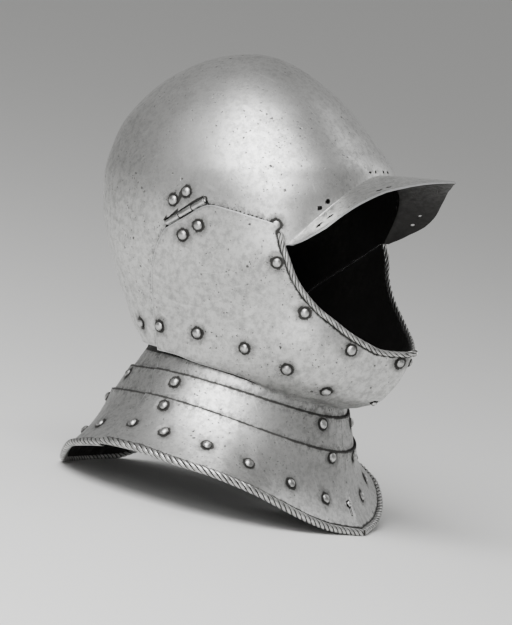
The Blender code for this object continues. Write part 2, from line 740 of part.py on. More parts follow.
def main():
    clear_scene()
    for name in ("close_burgonet", "cutters"):
        if name not in bpy.data.collections:
            bpy.context.scene.collection.children.link(bpy.data.collections.new(name))
    tilt, lift = rest_pose()
    stand = new_empty("stand", (0.0, 0.0, lift))
    stand.rotation_euler = (tilt, 0.0, 0.0)

    skull = make_skull(stand)
    ground = block("ground", Vector((0.0, 0.0, -20 * MM)), (1.0, 1.0, 40 * MM))
    make_rear_lame("neck_lame_1_rear", LAME_1_LEVELS, -3 * STEP, stand)
    make_rear_lame("neck_lame_2_rear", LAME_2_LEVELS, -2 * STEP, stand)
    standing = [make_rear_lame("gorget_rear", GORGET_LEVELS, -STEP, stand, rope=True)]
    for side, label in ((1, "right"), (-1, "left")):
        far_half = block("far_half_" + label, Vector((side * (0.5 - GAP / 2), 0.0, 0.2)),
                         (1.0, 1.0, 1.0))
        pivot = new_empty("pivot_" + label, hinge_frame(side)[1], stand)
        make_cheek("cheek_" + label, side, pivot, far_half)
        make_front_lame("neck_lame_1_" + label, side, LAME_1_LEVELS, -2 * STEP, pivot, far_half)
        make_front_lame("neck_lame_2_" + label, side, LAME_2_LEVELS, -STEP, pivot, far_half)
        standing.append(make_front_lame("gorget_" + label, side, GORGET_LEVELS, 0.0, pivot,
                                        far_half, rope=True))
        make_hinge(side, label, stand, pivot)
        for name, on, ahead, depth in RIVETS:
            parent = pivot if on == "cheek" else stand
            make_rivet("%s_%s" % (name, label), side, on == "cheek", ahead, depth, parent)
    for obj in standing:
        trim(obj, ground)
    centre_on_origin(skull, stand)


main()
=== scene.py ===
"""Close burgonet: the finished look of the steel helmet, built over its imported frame.

Metres, +Z up, the helmet facing -Y. Shapes are worked out upright, as the helmet is worn,
and are then tipped back with STAND to rest on the rim, as in the frame.
"""
import math

import bmesh
import bpy
from bpy.props import FloatProperty, FloatVectorProperty, IntProperty, PointerProperty
from mathutils import Matrix, Vector
from mathutils.kdtree import KDTree


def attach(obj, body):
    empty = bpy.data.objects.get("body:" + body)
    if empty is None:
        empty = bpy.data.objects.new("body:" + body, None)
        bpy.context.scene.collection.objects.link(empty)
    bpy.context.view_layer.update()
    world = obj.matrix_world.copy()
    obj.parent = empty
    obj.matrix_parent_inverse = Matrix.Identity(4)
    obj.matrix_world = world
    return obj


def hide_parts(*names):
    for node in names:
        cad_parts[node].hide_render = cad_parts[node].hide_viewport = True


bl_info = {
    "name": "Close Burgonet",
    "version": (1, 0, 0),
    "blender": (4, 5, 0),
    "location": "View3D > Sidebar > Burgonet",
    "description": "Builds a steel close burgonet with roped edges, hinges and rivets",
    "category": "Object",
}

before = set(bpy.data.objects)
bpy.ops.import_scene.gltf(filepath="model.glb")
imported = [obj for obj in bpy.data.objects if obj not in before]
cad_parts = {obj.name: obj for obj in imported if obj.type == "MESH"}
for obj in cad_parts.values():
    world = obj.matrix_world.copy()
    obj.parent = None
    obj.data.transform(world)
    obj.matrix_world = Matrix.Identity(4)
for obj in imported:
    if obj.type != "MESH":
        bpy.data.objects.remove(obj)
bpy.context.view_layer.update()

MM = 0.001

# Driving sizes
SKULL_LENGTH = 212.6 * MM
SKULL_WIDTH = 189.0 * MM
HEAD_HEIGHT = 252.4 * MM       # crown down to the underside of the chin
CROWN_HEIGHT = 343.4 * MM      # crown above the front point of the rim
PLATE = 1.4 * MM               # thickness of the steel
GAP = 0.3 * MM                 # clearance between pieces that touch
LAP_GAP = 0.6 * MM             # clearance between curved plates that lap
HIDDEN_LAP = 8.0 * MM          # how far a lame runs on under the next one
PEAK_REACH = 59.0 * MM         # peak beyond the brow at its point
PEAK_DROP = 4.5 * MM
BROW_DROP = 47.9 * MM          # fall of the brow crease from the middle to the temple
COLLAR_LENGTH = 226.0 * MM
COLLAR_WIDTH = 248.0 * MM
COLLAR_CENTRE = -24.5 * MM     # middle of the rim, ahead of the ears
RIM_RISE = 100.0 * MM          # the rim table's unit of height
ROPE_RADIUS = 2.8 * MM         # roped edge of the collar
FACE_ROPE_RADIUS = 2.1 * MM    # roped edge of the face-opening
FACE_ROPE_STAND = 0.9 * MM     # its centre line outside the plate
HINGE_RADIUS = 1.7 * MM
HINGE_STAND = 1.2 * MM         # hinge axis outside the skull's surface
WINDOW_HEIGHT = 15.0 * MM      # opening in the skull that the hinge's leaves pass through
WINDOW_SHIFT = -4.2 * MM       # its middle below the hinge's axis
RIVET_RADIUS = 3.5 * MM
RIVET_HEIGHT = 2.4 * MM

STEP = PLATE + LAP_GAP         # one layer of overlapping plate
CHEEK_OUT = STEP + 0.4 * MM    # cheek-piece's outer face above the skull's
HALF_LENGTH = SKULL_LENGTH / 2
HALF_WIDTH = SKULL_WIDTH / 2

# Level sections of the head. depth: share of HEAD_HEIGHT below the crown; centre, back and
# front: shares of HALF_LENGTH; width: share of HALF_WIDTH; the last three are the powers
# of the curve behind and ahead of the centre, and the root that makes the front a prow.
HEAD_SECTIONS = (
    # depth, centre, back, front, width, back_power, front_power, front_root
    (0.000, -0.038, 0.000, 0.000, 0.000, 2.20, 2.20, 2.20),
    (0.010, -0.047, 0.185, 0.185, 0.185, 2.20, 2.20, 2.20),
    (0.030, -0.060, 0.320, 0.320, 0.320, 2.20, 2.20, 2.20),
    (0.087, -0.083, 0.548, 0.548, 0.549, 2.20, 2.20, 2.20),
    (0.173, -0.083, 0.758, 0.758, 0.759, 2.20, 2.20, 2.20),
    (0.258, -0.056, 0.891, 0.891, 0.892, 2.20, 2.20, 2.20),
    (0.344, -0.019, 0.978, 0.978, 0.979, 2.25, 2.30, 2.30),
    (0.418, 0.000, 1.000, 0.983, 1.000, 2.30, 2.50, 2.50),
    (0.532, 0.000, 0.963, 0.969, 0.984, 2.30, 2.60, 2.60),
    (0.589, 0.000, 0.927, 1.025, 0.947, 2.30, 2.90, 2.30),
    (0.646, 0.000, 0.894, 1.082, 0.894, 2.30, 3.20, 1.60),
    (0.703, 0.000, 0.848, 1.129, 0.836, 2.30, 3.50, 1.30),
    (0.760, 0.000, 0.808, 1.167, 0.799, 2.30, 3.70, 1.10),
    (0.817, 0.000, 0.728, 1.199, 0.778, 2.30, 3.80, 1.00),
    (0.874, 0.000, 0.706, 1.152, 0.735, 2.30, 3.80, 1.00),
    (0.926, 0.000, 0.706, 1.077, 0.655, 2.30, 3.80, 1.00),
    (0.960, 0.000, 0.706, 1.002, 0.540, 2.30, 3.80, 1.00),
    (0.983, 0.000, 0.706, 0.931, 0.402, 2.30, 3.80, 1.00),
    (1.001, 0.000, 0.706, 0.753, 0.254, 2.30, 3.80, 1.00),
)

# Edge of the peak. bearing: degrees round the section from the front; reach: share of
# PEAK_REACH beyond the crease; drop: share of PEAK_DROP below the crease.
PEAK_EDGE = (
    (0.0, 1.000, 1.00),
    (5.0, 0.870, 0.80),
    (10.0, 0.755, 0.60),
    (13.2, 0.695, 0.48),
    (19.5, 0.585, 0.20),
    (27.5, 0.500, 0.20),
    (34.3, 0.460, 0.35),
    (38.5, 0.365, 0.85),
    (42.3, 0.200, 1.00),
    (48.0, 0.050, 0.25),
)
TEMPLE_BEARING = 48.0
BROW_DEPTH = 0.348             # crease at the middle, share of HEAD_HEIGHT
BROW_POWER = 1.65

# Skull's edge under the cheek-piece. bearing in degrees; depth: share of HEAD_HEIGHT.
SKULL_EDGE = (
    (48.0, 0.538),
    (57.0, 0.561),
    (68.0, 0.597),
    (85.0, 0.675),
    (98.0, 0.775),
    (104.0, 0.836),
)

# Waist of the neck: shares of HEAD_HEIGHT at the back, side and front, and its oval as
# shares of HALF_LENGTH and HALF_WIDTH.
NECK = {"centre": -0.036, "length": 0.692, "width": 0.710, "depths": (0.819, 0.873, 1.000)}
LAME_1 = {"centre": -0.094, "length": 0.762, "width": 0.775, "depths": (0.879, 0.913, 1.035)}
LAME_2 = {"centre": -0.144, "length": 0.847, "width": 0.900, "depths": (0.952, 0.984, 1.133)}

# Centre line of the collar's rope. around: share of the half turn from back to front;
# forward: share of COLLAR_LENGTH / 2 ahead of the ears; out: share of COLLAR_WIDTH / 2;
# up: share of RIM_RISE above the front point.
RIM = (
    # around, forward, out, up
    (0.000, -1.212, 0.000, 0.526),
    (0.103, -1.172, 0.323, 0.531),
    (0.183, -1.055, 0.532, 0.598),
    (0.272, -0.880, 0.726, 0.670),
    (0.375, -0.610, 0.887, 0.680),
    (0.464, -0.327, 0.968, 0.641),
    (0.568, 0.000, 1.000, 0.540),
    (0.643, 0.239, 0.944, 0.454),
    (0.694, 0.381, 0.855, 0.374),
    (0.726, 0.460, 0.790, 0.320),
    (0.809, 0.611, 0.565, 0.166),
    (0.854, 0.664, 0.435, 0.101),
    (0.898, 0.704, 0.306, 0.054),
    (0.952, 0.743, 0.145, 0.022),
    (1.000, 0.783, 0.000, 0.000),
)
# Where the front half-lames begin, share of the half turn from the back, at each seam.
SPLIT = {"neck": 0.326, "lame_1": 0.358, "lame_2": 0.393, "rim": 0.390}
SPLIT_LAP = 0.030              # overlap of a front half over a rear one, share of the turn
ROPE_BREAK = 0.004             # break in the rope at the split, share of the turn
STRIP_DROP = {False: 0.10, True: 0.05}  # upper edge of a lapped strip below its seam
# Levels of the grid down each plate of the collar: 0 at the neck, 1 and 2 at the seams and
# 3 at the rim. Below 0 and past its own seam a lame runs on out of sight.
LAME_1_LEVELS = (-0.25, 0.0, 0.5, 1.0, 1.4)
LAME_2_LEVELS = (1.0, 1.5, 2.0, 2.11)
GORGET_LEVELS = (2.0, 2.25, 2.5, 2.75, 3.0)
OVER_TURN = 0.004              # front halves are worked past the middle, then trimmed
OVER_MIDDLE = 2.5 * MM
FLARE_SAG = 0.035              # hollow of the collar's flare, share of COLLAR_WIDTH / 2

# Cheek-piece seen from the side, from its rear edge round to the chin. Each row pairs a
# point of the upper edge with one of the lower: ahead is a share of HALF_LENGTH from the
# ears, depth a share of HEAD_HEIGHT.
CHEEK_EDGES = (
    # top_ahead, top_depth, low_ahead, low_depth
    (-0.203, 0.495, -0.397, 0.840),
    (-0.055, 0.464, -0.240, 0.852),
    (0.123, 0.431, -0.095, 0.873),
    (0.267, 0.444, 0.088, 0.894),
    (0.398, 0.461, 0.245, 0.914),
    (0.575, 0.492, 0.370, 0.939),
    (0.604, 0.549, 0.460, 0.958),
    (0.632, 0.588, 0.530, 0.973),
    (0.661, 0.641, 0.580, 0.983),
    (0.710, 0.686, 0.640, 0.992),
    (0.770, 0.725, 0.720, 1.000),
    (0.838, 0.757, 0.800, 0.998),
    (0.921, 0.796, 0.889, 0.993),
    (1.000, 0.824, 0.957, 0.980),
    (1.065, 0.843, 1.039, 0.947),
    (1.150, 0.849, 1.105, 0.905),
    (1.199, 0.840, 1.199, 0.842),
)
RIDGE_START = 0.66             # place in the table where the lower edge turns up the ridge
ROPE_START = 8                 # column of the cheek-piece's grid where its rope begins
REAR_BOW = 0.085               # bow of the cheek-piece's rear edge, share of HALF_LENGTH

# Ends of the hinge barrel: ahead as a share of HALF_LENGTH, depth of HEAD_HEIGHT.
HINGE_REAR = (-0.205, 0.482)
HINGE_FRONT = (0.090, 0.419)

# Rivets on one side: name, plate, ahead (share of HALF_LENGTH), depth (of HEAD_HEIGHT).
RIVETS = (
    ("hinge_rivet_1", "skull", -0.154, 0.417),
    ("hinge_rivet_2", "skull", -0.055, 0.394),
    ("nape_rivet", "skull", -0.566, 0.768),
    ("hinge_rivet_3", "cheek", -0.074, 0.515),
    ("hinge_rivet_4", "cheek", 0.043, 0.488),
    ("face_rivet_1", "cheek", 0.565, 0.591),
    ("face_rivet_2", "cheek", 0.696, 0.733),
    ("face_rivet_3", "cheek", 0.931, 0.837),
    ("face_rivet_4", "cheek", 1.122, 0.874),
    ("neck_rivet_1", "cheek", -0.355, 0.773),
    ("neck_rivet_2", "cheek", -0.056, 0.792),
    ("neck_rivet_3", "cheek", 0.286, 0.833),
    ("neck_rivet_4", "cheek", 0.554, 0.890),
    ("neck_rivet_5", "cheek", 0.732, 0.950),
)

# Where the worn helmet is tipped back to, so that it stands on its rim.
STAND = (Matrix.Translation((0.0, -0.0309763, -0.0176545))
         @ Matrix.Rotation(-0.2292256, 4, "X"))

# Rivets of the collar. around: share of the half turn from back to front; down: level on
# the collar; layers: how many plates they stand inside the front gorget. The half that each
# one rides on follows from its place.
COLLAR_RIVETS = (
    # second lame
    (0.2139, 1.33, 2),
    (0.4551, 1.37, 1),
    (0.9014, 1.25, 1),
    # top of the gorget
    (0.1500, 2.14, 1),
    (0.4657, 2.17, 0),
    (0.9347, 2.08, 0),
    # along the rim
    (0.0800, 2.72, 1),
    (0.2000, 2.70, 1),
    (0.3037, 2.66, 1),
    (0.4200, 2.62, 0),
    (0.5074, 2.62, 0),
    (0.6093, 2.59, 0),
    (0.7019, 2.62, 0),
    (0.8023, 2.61, 0),
    (0.9069, 2.63, 0),
)

# Lining holes on one side, in pairs. place: on the skull a bearing in degrees and a depth,
# on the peak a bearing and a share of the way from the crease to the edge; then the radius.
LINING_HOLES = (
    ("skull", 31.2, 0.4215, 1.55 * MM),
    ("skull", 35.0, 0.4400, 1.55 * MM),
    ("skull", 2.6, 0.3385, 0.8 * MM),
    ("skull", 6.5, 0.3400, 0.8 * MM),
    ("peak", 15.2, 0.78, 1.3 * MM),
    ("peak", 18.4, 0.78, 1.3 * MM),
    ("peak", 34.6, 0.60, 1.6 * MM),
    ("peak", 38.6, 0.62, 1.6 * MM),
)

STUD_PLACE = 0.305             # where along a cheek-piece's edge its corner stud stands
STUD_RADIUS = 3.0 * MM
STUD_HEIGHT = 0.8 * MM

# Hinges: each leaf lies inside its plate and reaches its knuckles through an arm.
LEAF_HEIGHT, LEAF_THICKNESS = 9.0 * MM, 1.2 * MM
LEAF_MIDDLE = 5.0 * MM         # middle of a leaf above or below the hinge's axis
ARM_HEIGHT = 1.6 * MM
KNUCKLE_LIP = 0.3 * MM         # rounding of a knuckle's ends
# Head of the hinge's pin; rows are radius, height and cleanness of the steel.
PIN_HEAD = ((0, 0, 0.6), (0.9 * MM, 0, 0.8), (1.2 * MM, 0.4 * MM, 1),
            (1.2 * MM, 0.9 * MM, 0.6), (0, 0.9 * MM, 0))

# Catches that hold the halves shut: the chin's is given ahead of the ears and by depth, the
# gorget's by its share of the half turn and its level on the collar.
CHIN_CATCH = (97.2 * MM, 0.984)
GORGET_CATCH = (0.988, 2.65)
CHIN_TONGUE_DEPTHS = (0.966, 0.975, 0.984, 0.993)
CHIN_TONGUE_REACH = 98.4 * MM
GORGET_TONGUE_LEVELS = (2.56, 2.62, 2.68, 2.74)
TONGUE_GAP = 0.5 * MM          # a tongue clears the plate outside it by this much
KEYHOLE_RADIUS = 2.7 * MM
KEYHOLE_SLOT = (1.5 * MM, 8.0 * MM, 8.0 * MM)
CATCH_STUD = ((0, 0, 0), (1.5 * MM, 0, 0), (1.5 * MM, 2.2 * MM, 0), (2.1 * MM, 2.4 * MM, 0.3),
              (2.15 * MM, 2.9 * MM, 0.9), (1.7 * MM, 3.5 * MM, 1), (0.9 * MM, 3.9 * MM, 1),
              (0, 4.0 * MM, 1))

# How finely the plates and lines are drawn.
SKULL_GRID = (216, 78, 16)     # columns, rows of the skull, rows of the peak
CHEEK_GRID = (132, 60)         # columns, rows
REAR_COLUMNS, FRONT_COLUMNS = 84, 120
LAME_STEP, GORGET_STEP = 0.08, 0.04
ROPE_COLUMNS = 24              # columns that ROPE_START is counted in
LINE_PARTS = 90
RIM_PARTS = 150
SEAM_PARTS = 220

PROBE = 5 * MM                 # how far out a second point gives a rivet's direction
SOFT_EDGE = 0.28 * MM          # rounding of the plates' edges
SHARP_ANGLE = 38.0             # degrees past which a plate's edge is shaded sharp
FAR = 14.0                     # masks of wear, dirt and painted shade stop this many millimetres from an edge or rivet

RUBBED_EDGE = (0.80, 0.81, 0.82)  # colour of bare edges
# Lightness of each kind of plate against the skull's.
SKULL_TONE, CHEEK_TONE, LAME_TONE, GORGET_TONE = 1.0, 0.97, 0.94, 0.97

# The camera looks at AIM on the worn helmet and takes in VIEW_SPAN from bottom to top.
AIM = (0.0013, -0.0026, 0.1569)
VIEW_SPAN = 0.45
SENSOR = 36.0                  # camera's sensor height in its own millimetres
FLOOR_REACH = 14.0
LIT_HEIGHT = 0.18              # the lights aim at this height over the floor
# Lights: metres towards the camera, to its right and up, then the width and height.
LIGHTS = {
    "key_light": (0.9, -0.4, 1.4, (1.2, 1.6)),
    "fill_light": (1.7, -0.25, 0.35, (0.9, 0.9)),
    "rim_light": (-0.9, 1.2, 0.9, (0.5, 1.4)),
}


def spline(table, column, at):
    """Smooth value of one column of a table at a place along its first column."""
    rows = len(table)
    i = 0
    while i < rows - 2 and at > table[i + 1][0]:
        i += 1
    x0, x1 = table[i][0], table[i + 1][0]
    y0, y1 = table[i][column], table[i + 1][column]
    slope = (y1 - y0) / (x1 - x0)

    def tangent(j):
        if j == 0 or j == rows - 1:
            k = min(j, rows - 2)
            return (table[k + 1][column] - table[k][column]) / (table[k + 1][0] - table[k][0])
        before = (table[j][column] - table[j - 1][column]) / (table[j][0] - table[j - 1][0])
        after = (table[j + 1][column] - table[j][column]) / (table[j + 1][0] - table[j][0])
        if before * after <= 0:
            return 0.0
        return 2 * before * after / (before + after)

    m0, m1 = tangent(i), tangent(i + 1)
    t = (at - x0) / (x1 - x0)
    h = x1 - x0
    if t <= 0 or t >= 1:
        return y0 + slope * h * min(max(t, 0), 1)
    return ((2 * t ** 3 - 3 * t ** 2 + 1) * y0 + (t ** 3 - 2 * t ** 2 + t) * h * m0
            + (3 * t ** 2 - 2 * t ** 3) * y1 + (t ** 3 - t ** 2) * h * m1)


def level(depth):
    """Height of a depth that is a share of HEAD_HEIGHT below the crown."""
    return CROWN_HEIGHT - depth * HEAD_HEIGHT


def section(depth):
    """Centre, back, front and width of the head at a depth, with the curve's powers."""
    crown = HEAD_SECTIONS[1][0]
    rounding = min(math.sqrt(max(depth, 0.0) / crown), 1.0)
    depth = max(depth, crown)
    centre, back, front, width = (spline(HEAD_SECTIONS, k, depth) for k in range(1, 5))
    back, front, width = back * rounding, front * rounding, width * rounding
    powers = tuple(spline(HEAD_SECTIONS, k, depth) for k in range(5, 8))
    return (centre * HALF_LENGTH, back * HALF_LENGTH, front * HALF_LENGTH,
            width * HALF_WIDTH) + powers


def half_width(ahead, depth):
    """Half-width of the skull at a place ahead of the ears (metres) and a depth."""
    centre, back, front, width, back_power, front_power, front_root = section(depth)
    if ahead < centre:
        share = min((centre - ahead) / back, 1.0)
        return width * (1 - share ** back_power) ** (1 / back_power)
    share = (ahead - centre) / front
    if share > 1:
        return -width * front_power * (share - 1)
    return width * (1 - share ** front_power) ** (1 / front_root)


def head_point(ahead, depth, side=1, out=0.0):
    """Point on the head's right side, moved out along the surface's normal.

    side is 1 for the wearer's right and -1 for the left.
    """
    small = 0.5 * MM
    x = half_width(ahead, depth)
    along = (half_width(ahead + small, depth) - half_width(ahead - small, depth)) / (2 * small)
    step = small / HEAD_HEIGHT
    down = (half_width(ahead, depth + step) - half_width(ahead, depth - step)) / (2 * small)
    normal = Vector((1.0, -along, down)).normalized()
    place = Vector((x, ahead, level(depth))) + normal * out
    return Vector((-side * place.x, -place.y, place.z))


def ring_point(bearing, depth, out=0.0):
    """Point on the skull at a bearing (degrees from the front) and a depth."""
    centre, back, front, width, back_power, front_power, front_root = section(depth)
    turn = math.cos(math.radians(bearing))
    reach = front if turn > 0 else back
    power = front_power if turn > 0 else back_power
    root = front_root if turn > 0 else back_power
    x = width * max(1 - abs(turn) ** power, 0.0) ** (1 / root)
    return Vector((-(x + out * math.sin(math.radians(bearing))),
                   -(centre + (reach + out) * turn), level(depth)))


def brow_depth(bearing):
    """Depth of the crease between skull and peak."""
    fall = BROW_DROP / HEAD_HEIGHT
    return BROW_DEPTH + fall * (bearing / TEMPLE_BEARING) ** BROW_POWER


def neck_depth(ahead):
    """Depth of the waist line that the skull and cheek-pieces end on."""
    back = (NECK["centre"] - NECK["length"]) * HALF_LENGTH
    share = (ahead - back) / (2 * NECK["length"] * HALF_LENGTH)
    return oval_depth(NECK, min(max(share, 0.0), 1.0))


def oval_depth(oval, share):
    back, side, front = oval["depths"]
    bend = 2 * (front + back - 2 * side)
    return back + (front - back - bend) * share + bend * share * share


def skull_edge_depth(bearing):
    if bearing <= SKULL_EDGE[-1][0]:
        return spline(SKULL_EDGE, 1, bearing)
    centre, back = section(NECK["depths"][0])[:2]
    ahead = centre + back * math.cos(math.radians(bearing))
    last = SKULL_EDGE[-1]
    fade = min((bearing - last[0]) / 8.0, 1.0)
    return last[1] + (neck_depth(ahead) - last[1]) * fade


def oval_point(oval, around, out=0.0):
    """Point on a neck oval; around runs 0 at the back to 1 at the front."""
    angle = math.pi * around
    length = oval["length"] * HALF_LENGTH + out
    width = oval["width"] * HALF_WIDTH + out
    ahead = oval["centre"] * HALF_LENGTH - length * math.cos(angle)
    share = (1 - math.cos(angle)) / 2
    return Vector((-width * math.sin(angle), -ahead, level(oval_depth(oval, share))))


def rim_point(around):
    if around > 1:
        point = rim_point(2 - around)
        return Vector((-point.x, point.y, point.z))
    forward = spline(RIM, 1, around) * COLLAR_LENGTH / 2
    out = spline(RIM, 2, around) * COLLAR_WIDTH / 2
    up = spline(RIM, 3, around) * RIM_RISE
    return Vector((-out, -forward, up))


def hinge_line(side):
    """Ends of the hinge's axis, just outside the skull."""
    ends = []
    for ahead, depth in (HINGE_REAR, HINGE_FRONT):
        ends.append(head_point(ahead * HALF_LENGTH, depth, side, HINGE_STAND))
    return ends


def hinge_frame(side):
    """Rotation whose X runs along the barrel and whose Z points out of the skull."""
    rear, front = hinge_line(side)
    along = (front - rear).normalized() * side
    out = Vector((-side, 0.0, 0.0))
    out = (out - along * out.dot(along)).normalized()
    across = out.cross(along)
    return Matrix((along, across, out)).transposed().to_4x4(), (rear + front) / 2, (
        front - rear).length


def ridge_ahead(depth):
    """Just past the ridge where the two cheek-pieces meet."""
    centre, _, front = section(depth)[:3]
    return centre + front + OVER_MIDDLE


def cheek_place(place, share, side, out):
    """Point of a cheek-piece: place runs from its rear edge round to the chin, share from
    its upper edge down to the lower one."""
    table = [(i / (len(CHEEK_EDGES) - 1), *row) for i, row in enumerate(CHEEK_EDGES)]
    top_ahead, top_depth, low_ahead, low_depth = (spline(table, k, place) for k in range(1, 5))
    if place >= RIDGE_START:
        low_ahead = ridge_ahead(low_depth) / HALF_LENGTH
    ahead = top_ahead + (low_ahead - top_ahead) * share
    depth = top_depth + (low_depth - top_depth) * share
    bow = REAR_BOW * math.sin(math.pi * share ** 0.8) * max(0.0, 1 - place * 4)
    ahead = min((ahead - bow) * HALF_LENGTH, ridge_ahead(depth))
    return head_point(ahead, depth, side, out)


def cheek_rows(side, out, columns, rows_down):
    return [[cheek_place(column / columns, i / rows_down, side, out)
             for column in range(columns + 1)] for i in range(rows_down + 1)]


def collar_base(around, down):
    """Point of the collar: down is 0 at the neck, 1 and 2 at the seams, 3 at the rim."""
    if down < 0:
        return oval_point(NECK, around, 2 * STEP) - Vector((0.0, 0.0, down * 4 * HIDDEN_LAP))
    stops = (oval_point(NECK, around, 2 * STEP), oval_point(LAME_1, around, STEP),
             oval_point(LAME_2, around), rim_point(around))
    if down <= 2:
        k = min(int(down), 1)
        return stops[k].lerp(stops[k + 1], down - k)
    share = down - 2
    point = stops[2].lerp(stops[3], share)
    sag = FLARE_SAG * COLLAR_WIDTH / 2 * 4 * share * (1 - share)
    flat = Vector((point.x, point.y + COLLAR_CENTRE, 0.0))
    return point - flat.normalized() * sag


def collar_point(around, down, side, out):
    """Point of the collar moved out along its normal."""
    turn, fall = 0.004, 0.02
    point = collar_base(around, down)
    along = collar_base(around + turn, down) - collar_base(max(around - turn, -turn), down)
    below = collar_base(around, min(down + fall, 3.0)) - collar_base(around, min(down, 3.0) - fall)
    normal = below.cross(along)
    if normal.dot(Vector((point.x, point.y + COLLAR_CENTRE, 0.0))) < 0:
        normal.negate()
    point = point + normal.normalized() * out
    return Vector((point.x * side, point.y, point.z))


def split_at(down):
    marks = ((-1.0, SPLIT["neck"]), (0.0, SPLIT["neck"]), (1.0, SPLIT["lame_1"]),
             (2.0, SPLIT["lame_2"]), (3.0, SPLIT["rim"]))
    return spline(marks, 1, down)


def rear_rows(downs, out, count, rope):
    """Right half of a rear lame; its last columns are the strip under the front half."""
    rows = []
    top, bottom = downs[0], downs[-1]
    whole = count - 2
    for down in downs:
        row = []
        for column in range(count + 1):
            if column <= whole:
                place = down
                around = (split_at(down) - ROPE_BREAK) * column / whole
            else:
                # The strip is cut back clear of the front half's rope and of the lame above.
                low = bottom - 0.08 if rope else bottom
                high = top if top < 0 else top + STRIP_DROP[rope]
                place = high + (low - high) * (down - top) / (bottom - top)
                start = split_at(place) - 0.75 * ROPE_BREAK
                around = start + (SPLIT_LAP + ROPE_BREAK) * (column - whole - 1)
            row.append(collar_point(around, place, 1, out))
        rows.append(row)
    return rows


def front_rows(side, downs, out, count, rope):
    """A front half-lame; where it laps the rear one its hidden edge is cut short."""
    rows = []
    lap = ROPE_BREAK * 2 + SPLIT_LAP
    for down in downs:
        row = []
        for column in range(count + 1):
            place = down
            if column <= 2 and not rope:
                place = min(down, math.floor(downs[-1]) + 0.02)
            start = split_at(place)
            if column <= 2:
                around = start + lap * column / 2
            else:
                share = (column - 2) / (count - 2)
                around = start + lap + (1 + OVER_TURN - start - lap) * share
            row.append(collar_point(around, place, side, out))
        rows.append(row)
    return rows


def mirror_rows(rows):
    """Rows of a right half carried on round the back to the left."""
    full = []
    for row in rows:
        left = [Vector((-p.x, p.y, p.z)) for p in row]
        full.append(list(reversed(left)) + row[1:])
    return full


def settings():
    """The three groups of values that the panel shows."""
    scene = bpy.context.scene
    return scene.burgonet_sizes, scene.burgonet_finish, scene.burgonet_stage


# ---------------------------------------------------------------- node trees


def add_node(tree, kind, inputs=(), **options):
    """New node with its inputs set to values, or wired from sockets."""
    made = tree.nodes.new(kind)
    for key, value in options.items():
        setattr(made, key, value)
    for key, value in dict(inputs).items():
        if isinstance(value, bpy.types.NodeSocket):
            tree.links.new(value, made.inputs[key])
        else:
            made.inputs[key].default_value = value
    return made


def calc(tree, operation, first, second=0.0, third=0.0):
    inputs = {0: first, 1: second}
    if operation == "MULTIPLY_ADD":
        inputs[2] = third
    return add_node(tree, "ShaderNodeMath", inputs, operation=operation).outputs[0]


def ease(tree, value, start, end, low=0.0, high=1.0):
    """Smooth step from low to high as the value goes from start to end."""
    ranges = {"Value": value, "From Min": start, "From Max": end, "To Min": low, "To Max": high}
    return add_node(tree, "ShaderNodeMapRange", ranges,
                    interpolation_type="SMOOTHSTEP").outputs["Result"]


def blend(tree, factor, first, second):
    made = add_node(tree, "ShaderNodeMix", {0: factor, 6: first, 7: second}, data_type="RGBA")
    return made.outputs[2]


def noise(tree, vector, scale, detail=3.0, roughness=0.55):
    inputs = {"Vector": vector, "Scale": scale, "Detail": detail, "Roughness": roughness}
    return add_node(tree, "ShaderNodeTexNoise", inputs).outputs["Fac"]


def start_group(name, kind, inputs, outputs):
    """Empty node group: inputs are (name, kind, default) rows, outputs (name, kind) rows."""
    group = bpy.data.node_groups.new(name, kind)
    for label, socket, default in inputs:
        made = group.interface.new_socket(label, in_out="INPUT", socket_type=socket)
        if default is not None:
            made.default_value = default
    for label, socket in outputs:
        group.interface.new_socket(label, in_out="OUTPUT", socket_type=socket)
    return group, group.nodes.new("NodeGroupInput").outputs, group.nodes.new("NodeGroupOutput")


def finish_group(group, end, results):
    for label, socket in results.items():
        group.links.new(socket, end.inputs[label])
    return group


NUMBER = "NodeSocketFloat"


def rust_pits():
    """Scattered pits eaten into the steel: a mask and how deep they go, in metres."""
    if "Rust Pits" in bpy.data.node_groups:
        return bpy.data.node_groups["Rust Pits"]
    group, given, end = start_group(
        "Rust Pits", "ShaderNodeTree",
        [("Vector", "NodeSocketVector", None), ("Scale", NUMBER, 300.0),
         ("Share", NUMBER, 0.12), ("Depth", NUMBER, 0.0002)],
        [("Mask", NUMBER), ("Height", NUMBER)])
    ragged = add_node(group, "ShaderNodeTexNoise",
                      {"Vector": given["Vector"], "Scale": 700.0, "Detail": 2.0})
    shift = add_node(group, "ShaderNodeVectorMath",
                     {0: ragged.outputs["Color"], "Scale": 0.0022}, operation="SCALE")
    place = add_node(group, "ShaderNodeVectorMath",
                     {0: given["Vector"], 1: shift.outputs[0]}, operation="ADD")
    cells = add_node(group, "ShaderNodeTexVoronoi",
                     {"Vector": place.outputs[0], "Scale": given["Scale"]})
    pick = add_node(group, "ShaderNodeSeparateColor", {"Color": cells.outputs["Color"]})
    crowd = noise(group, given["Vector"], 22.0, 2.0)
    share = calc(group, "MULTIPLY", given["Share"], ease(group, crowd, 0.35, 0.75, 0.15, 2.2))
    chosen = calc(group, "LESS_THAN", pick.outputs[0], share)
    size = ease(group, pick.outputs[1], 0.0, 1.0, 0.10, 0.38)
    round_pit = ease(group, calc(group, "DIVIDE", cells.outputs["Distance"], size),
                     0.35, 1.0, 1.0, 0.0)
    mask = calc(group, "MULTIPLY", chosen, round_pit)
    height = calc(group, "MULTIPLY", calc(group, "MULTIPLY", mask, given["Depth"]), -1.0)
    return finish_group(group, end, {"Mask": mask, "Height": height})


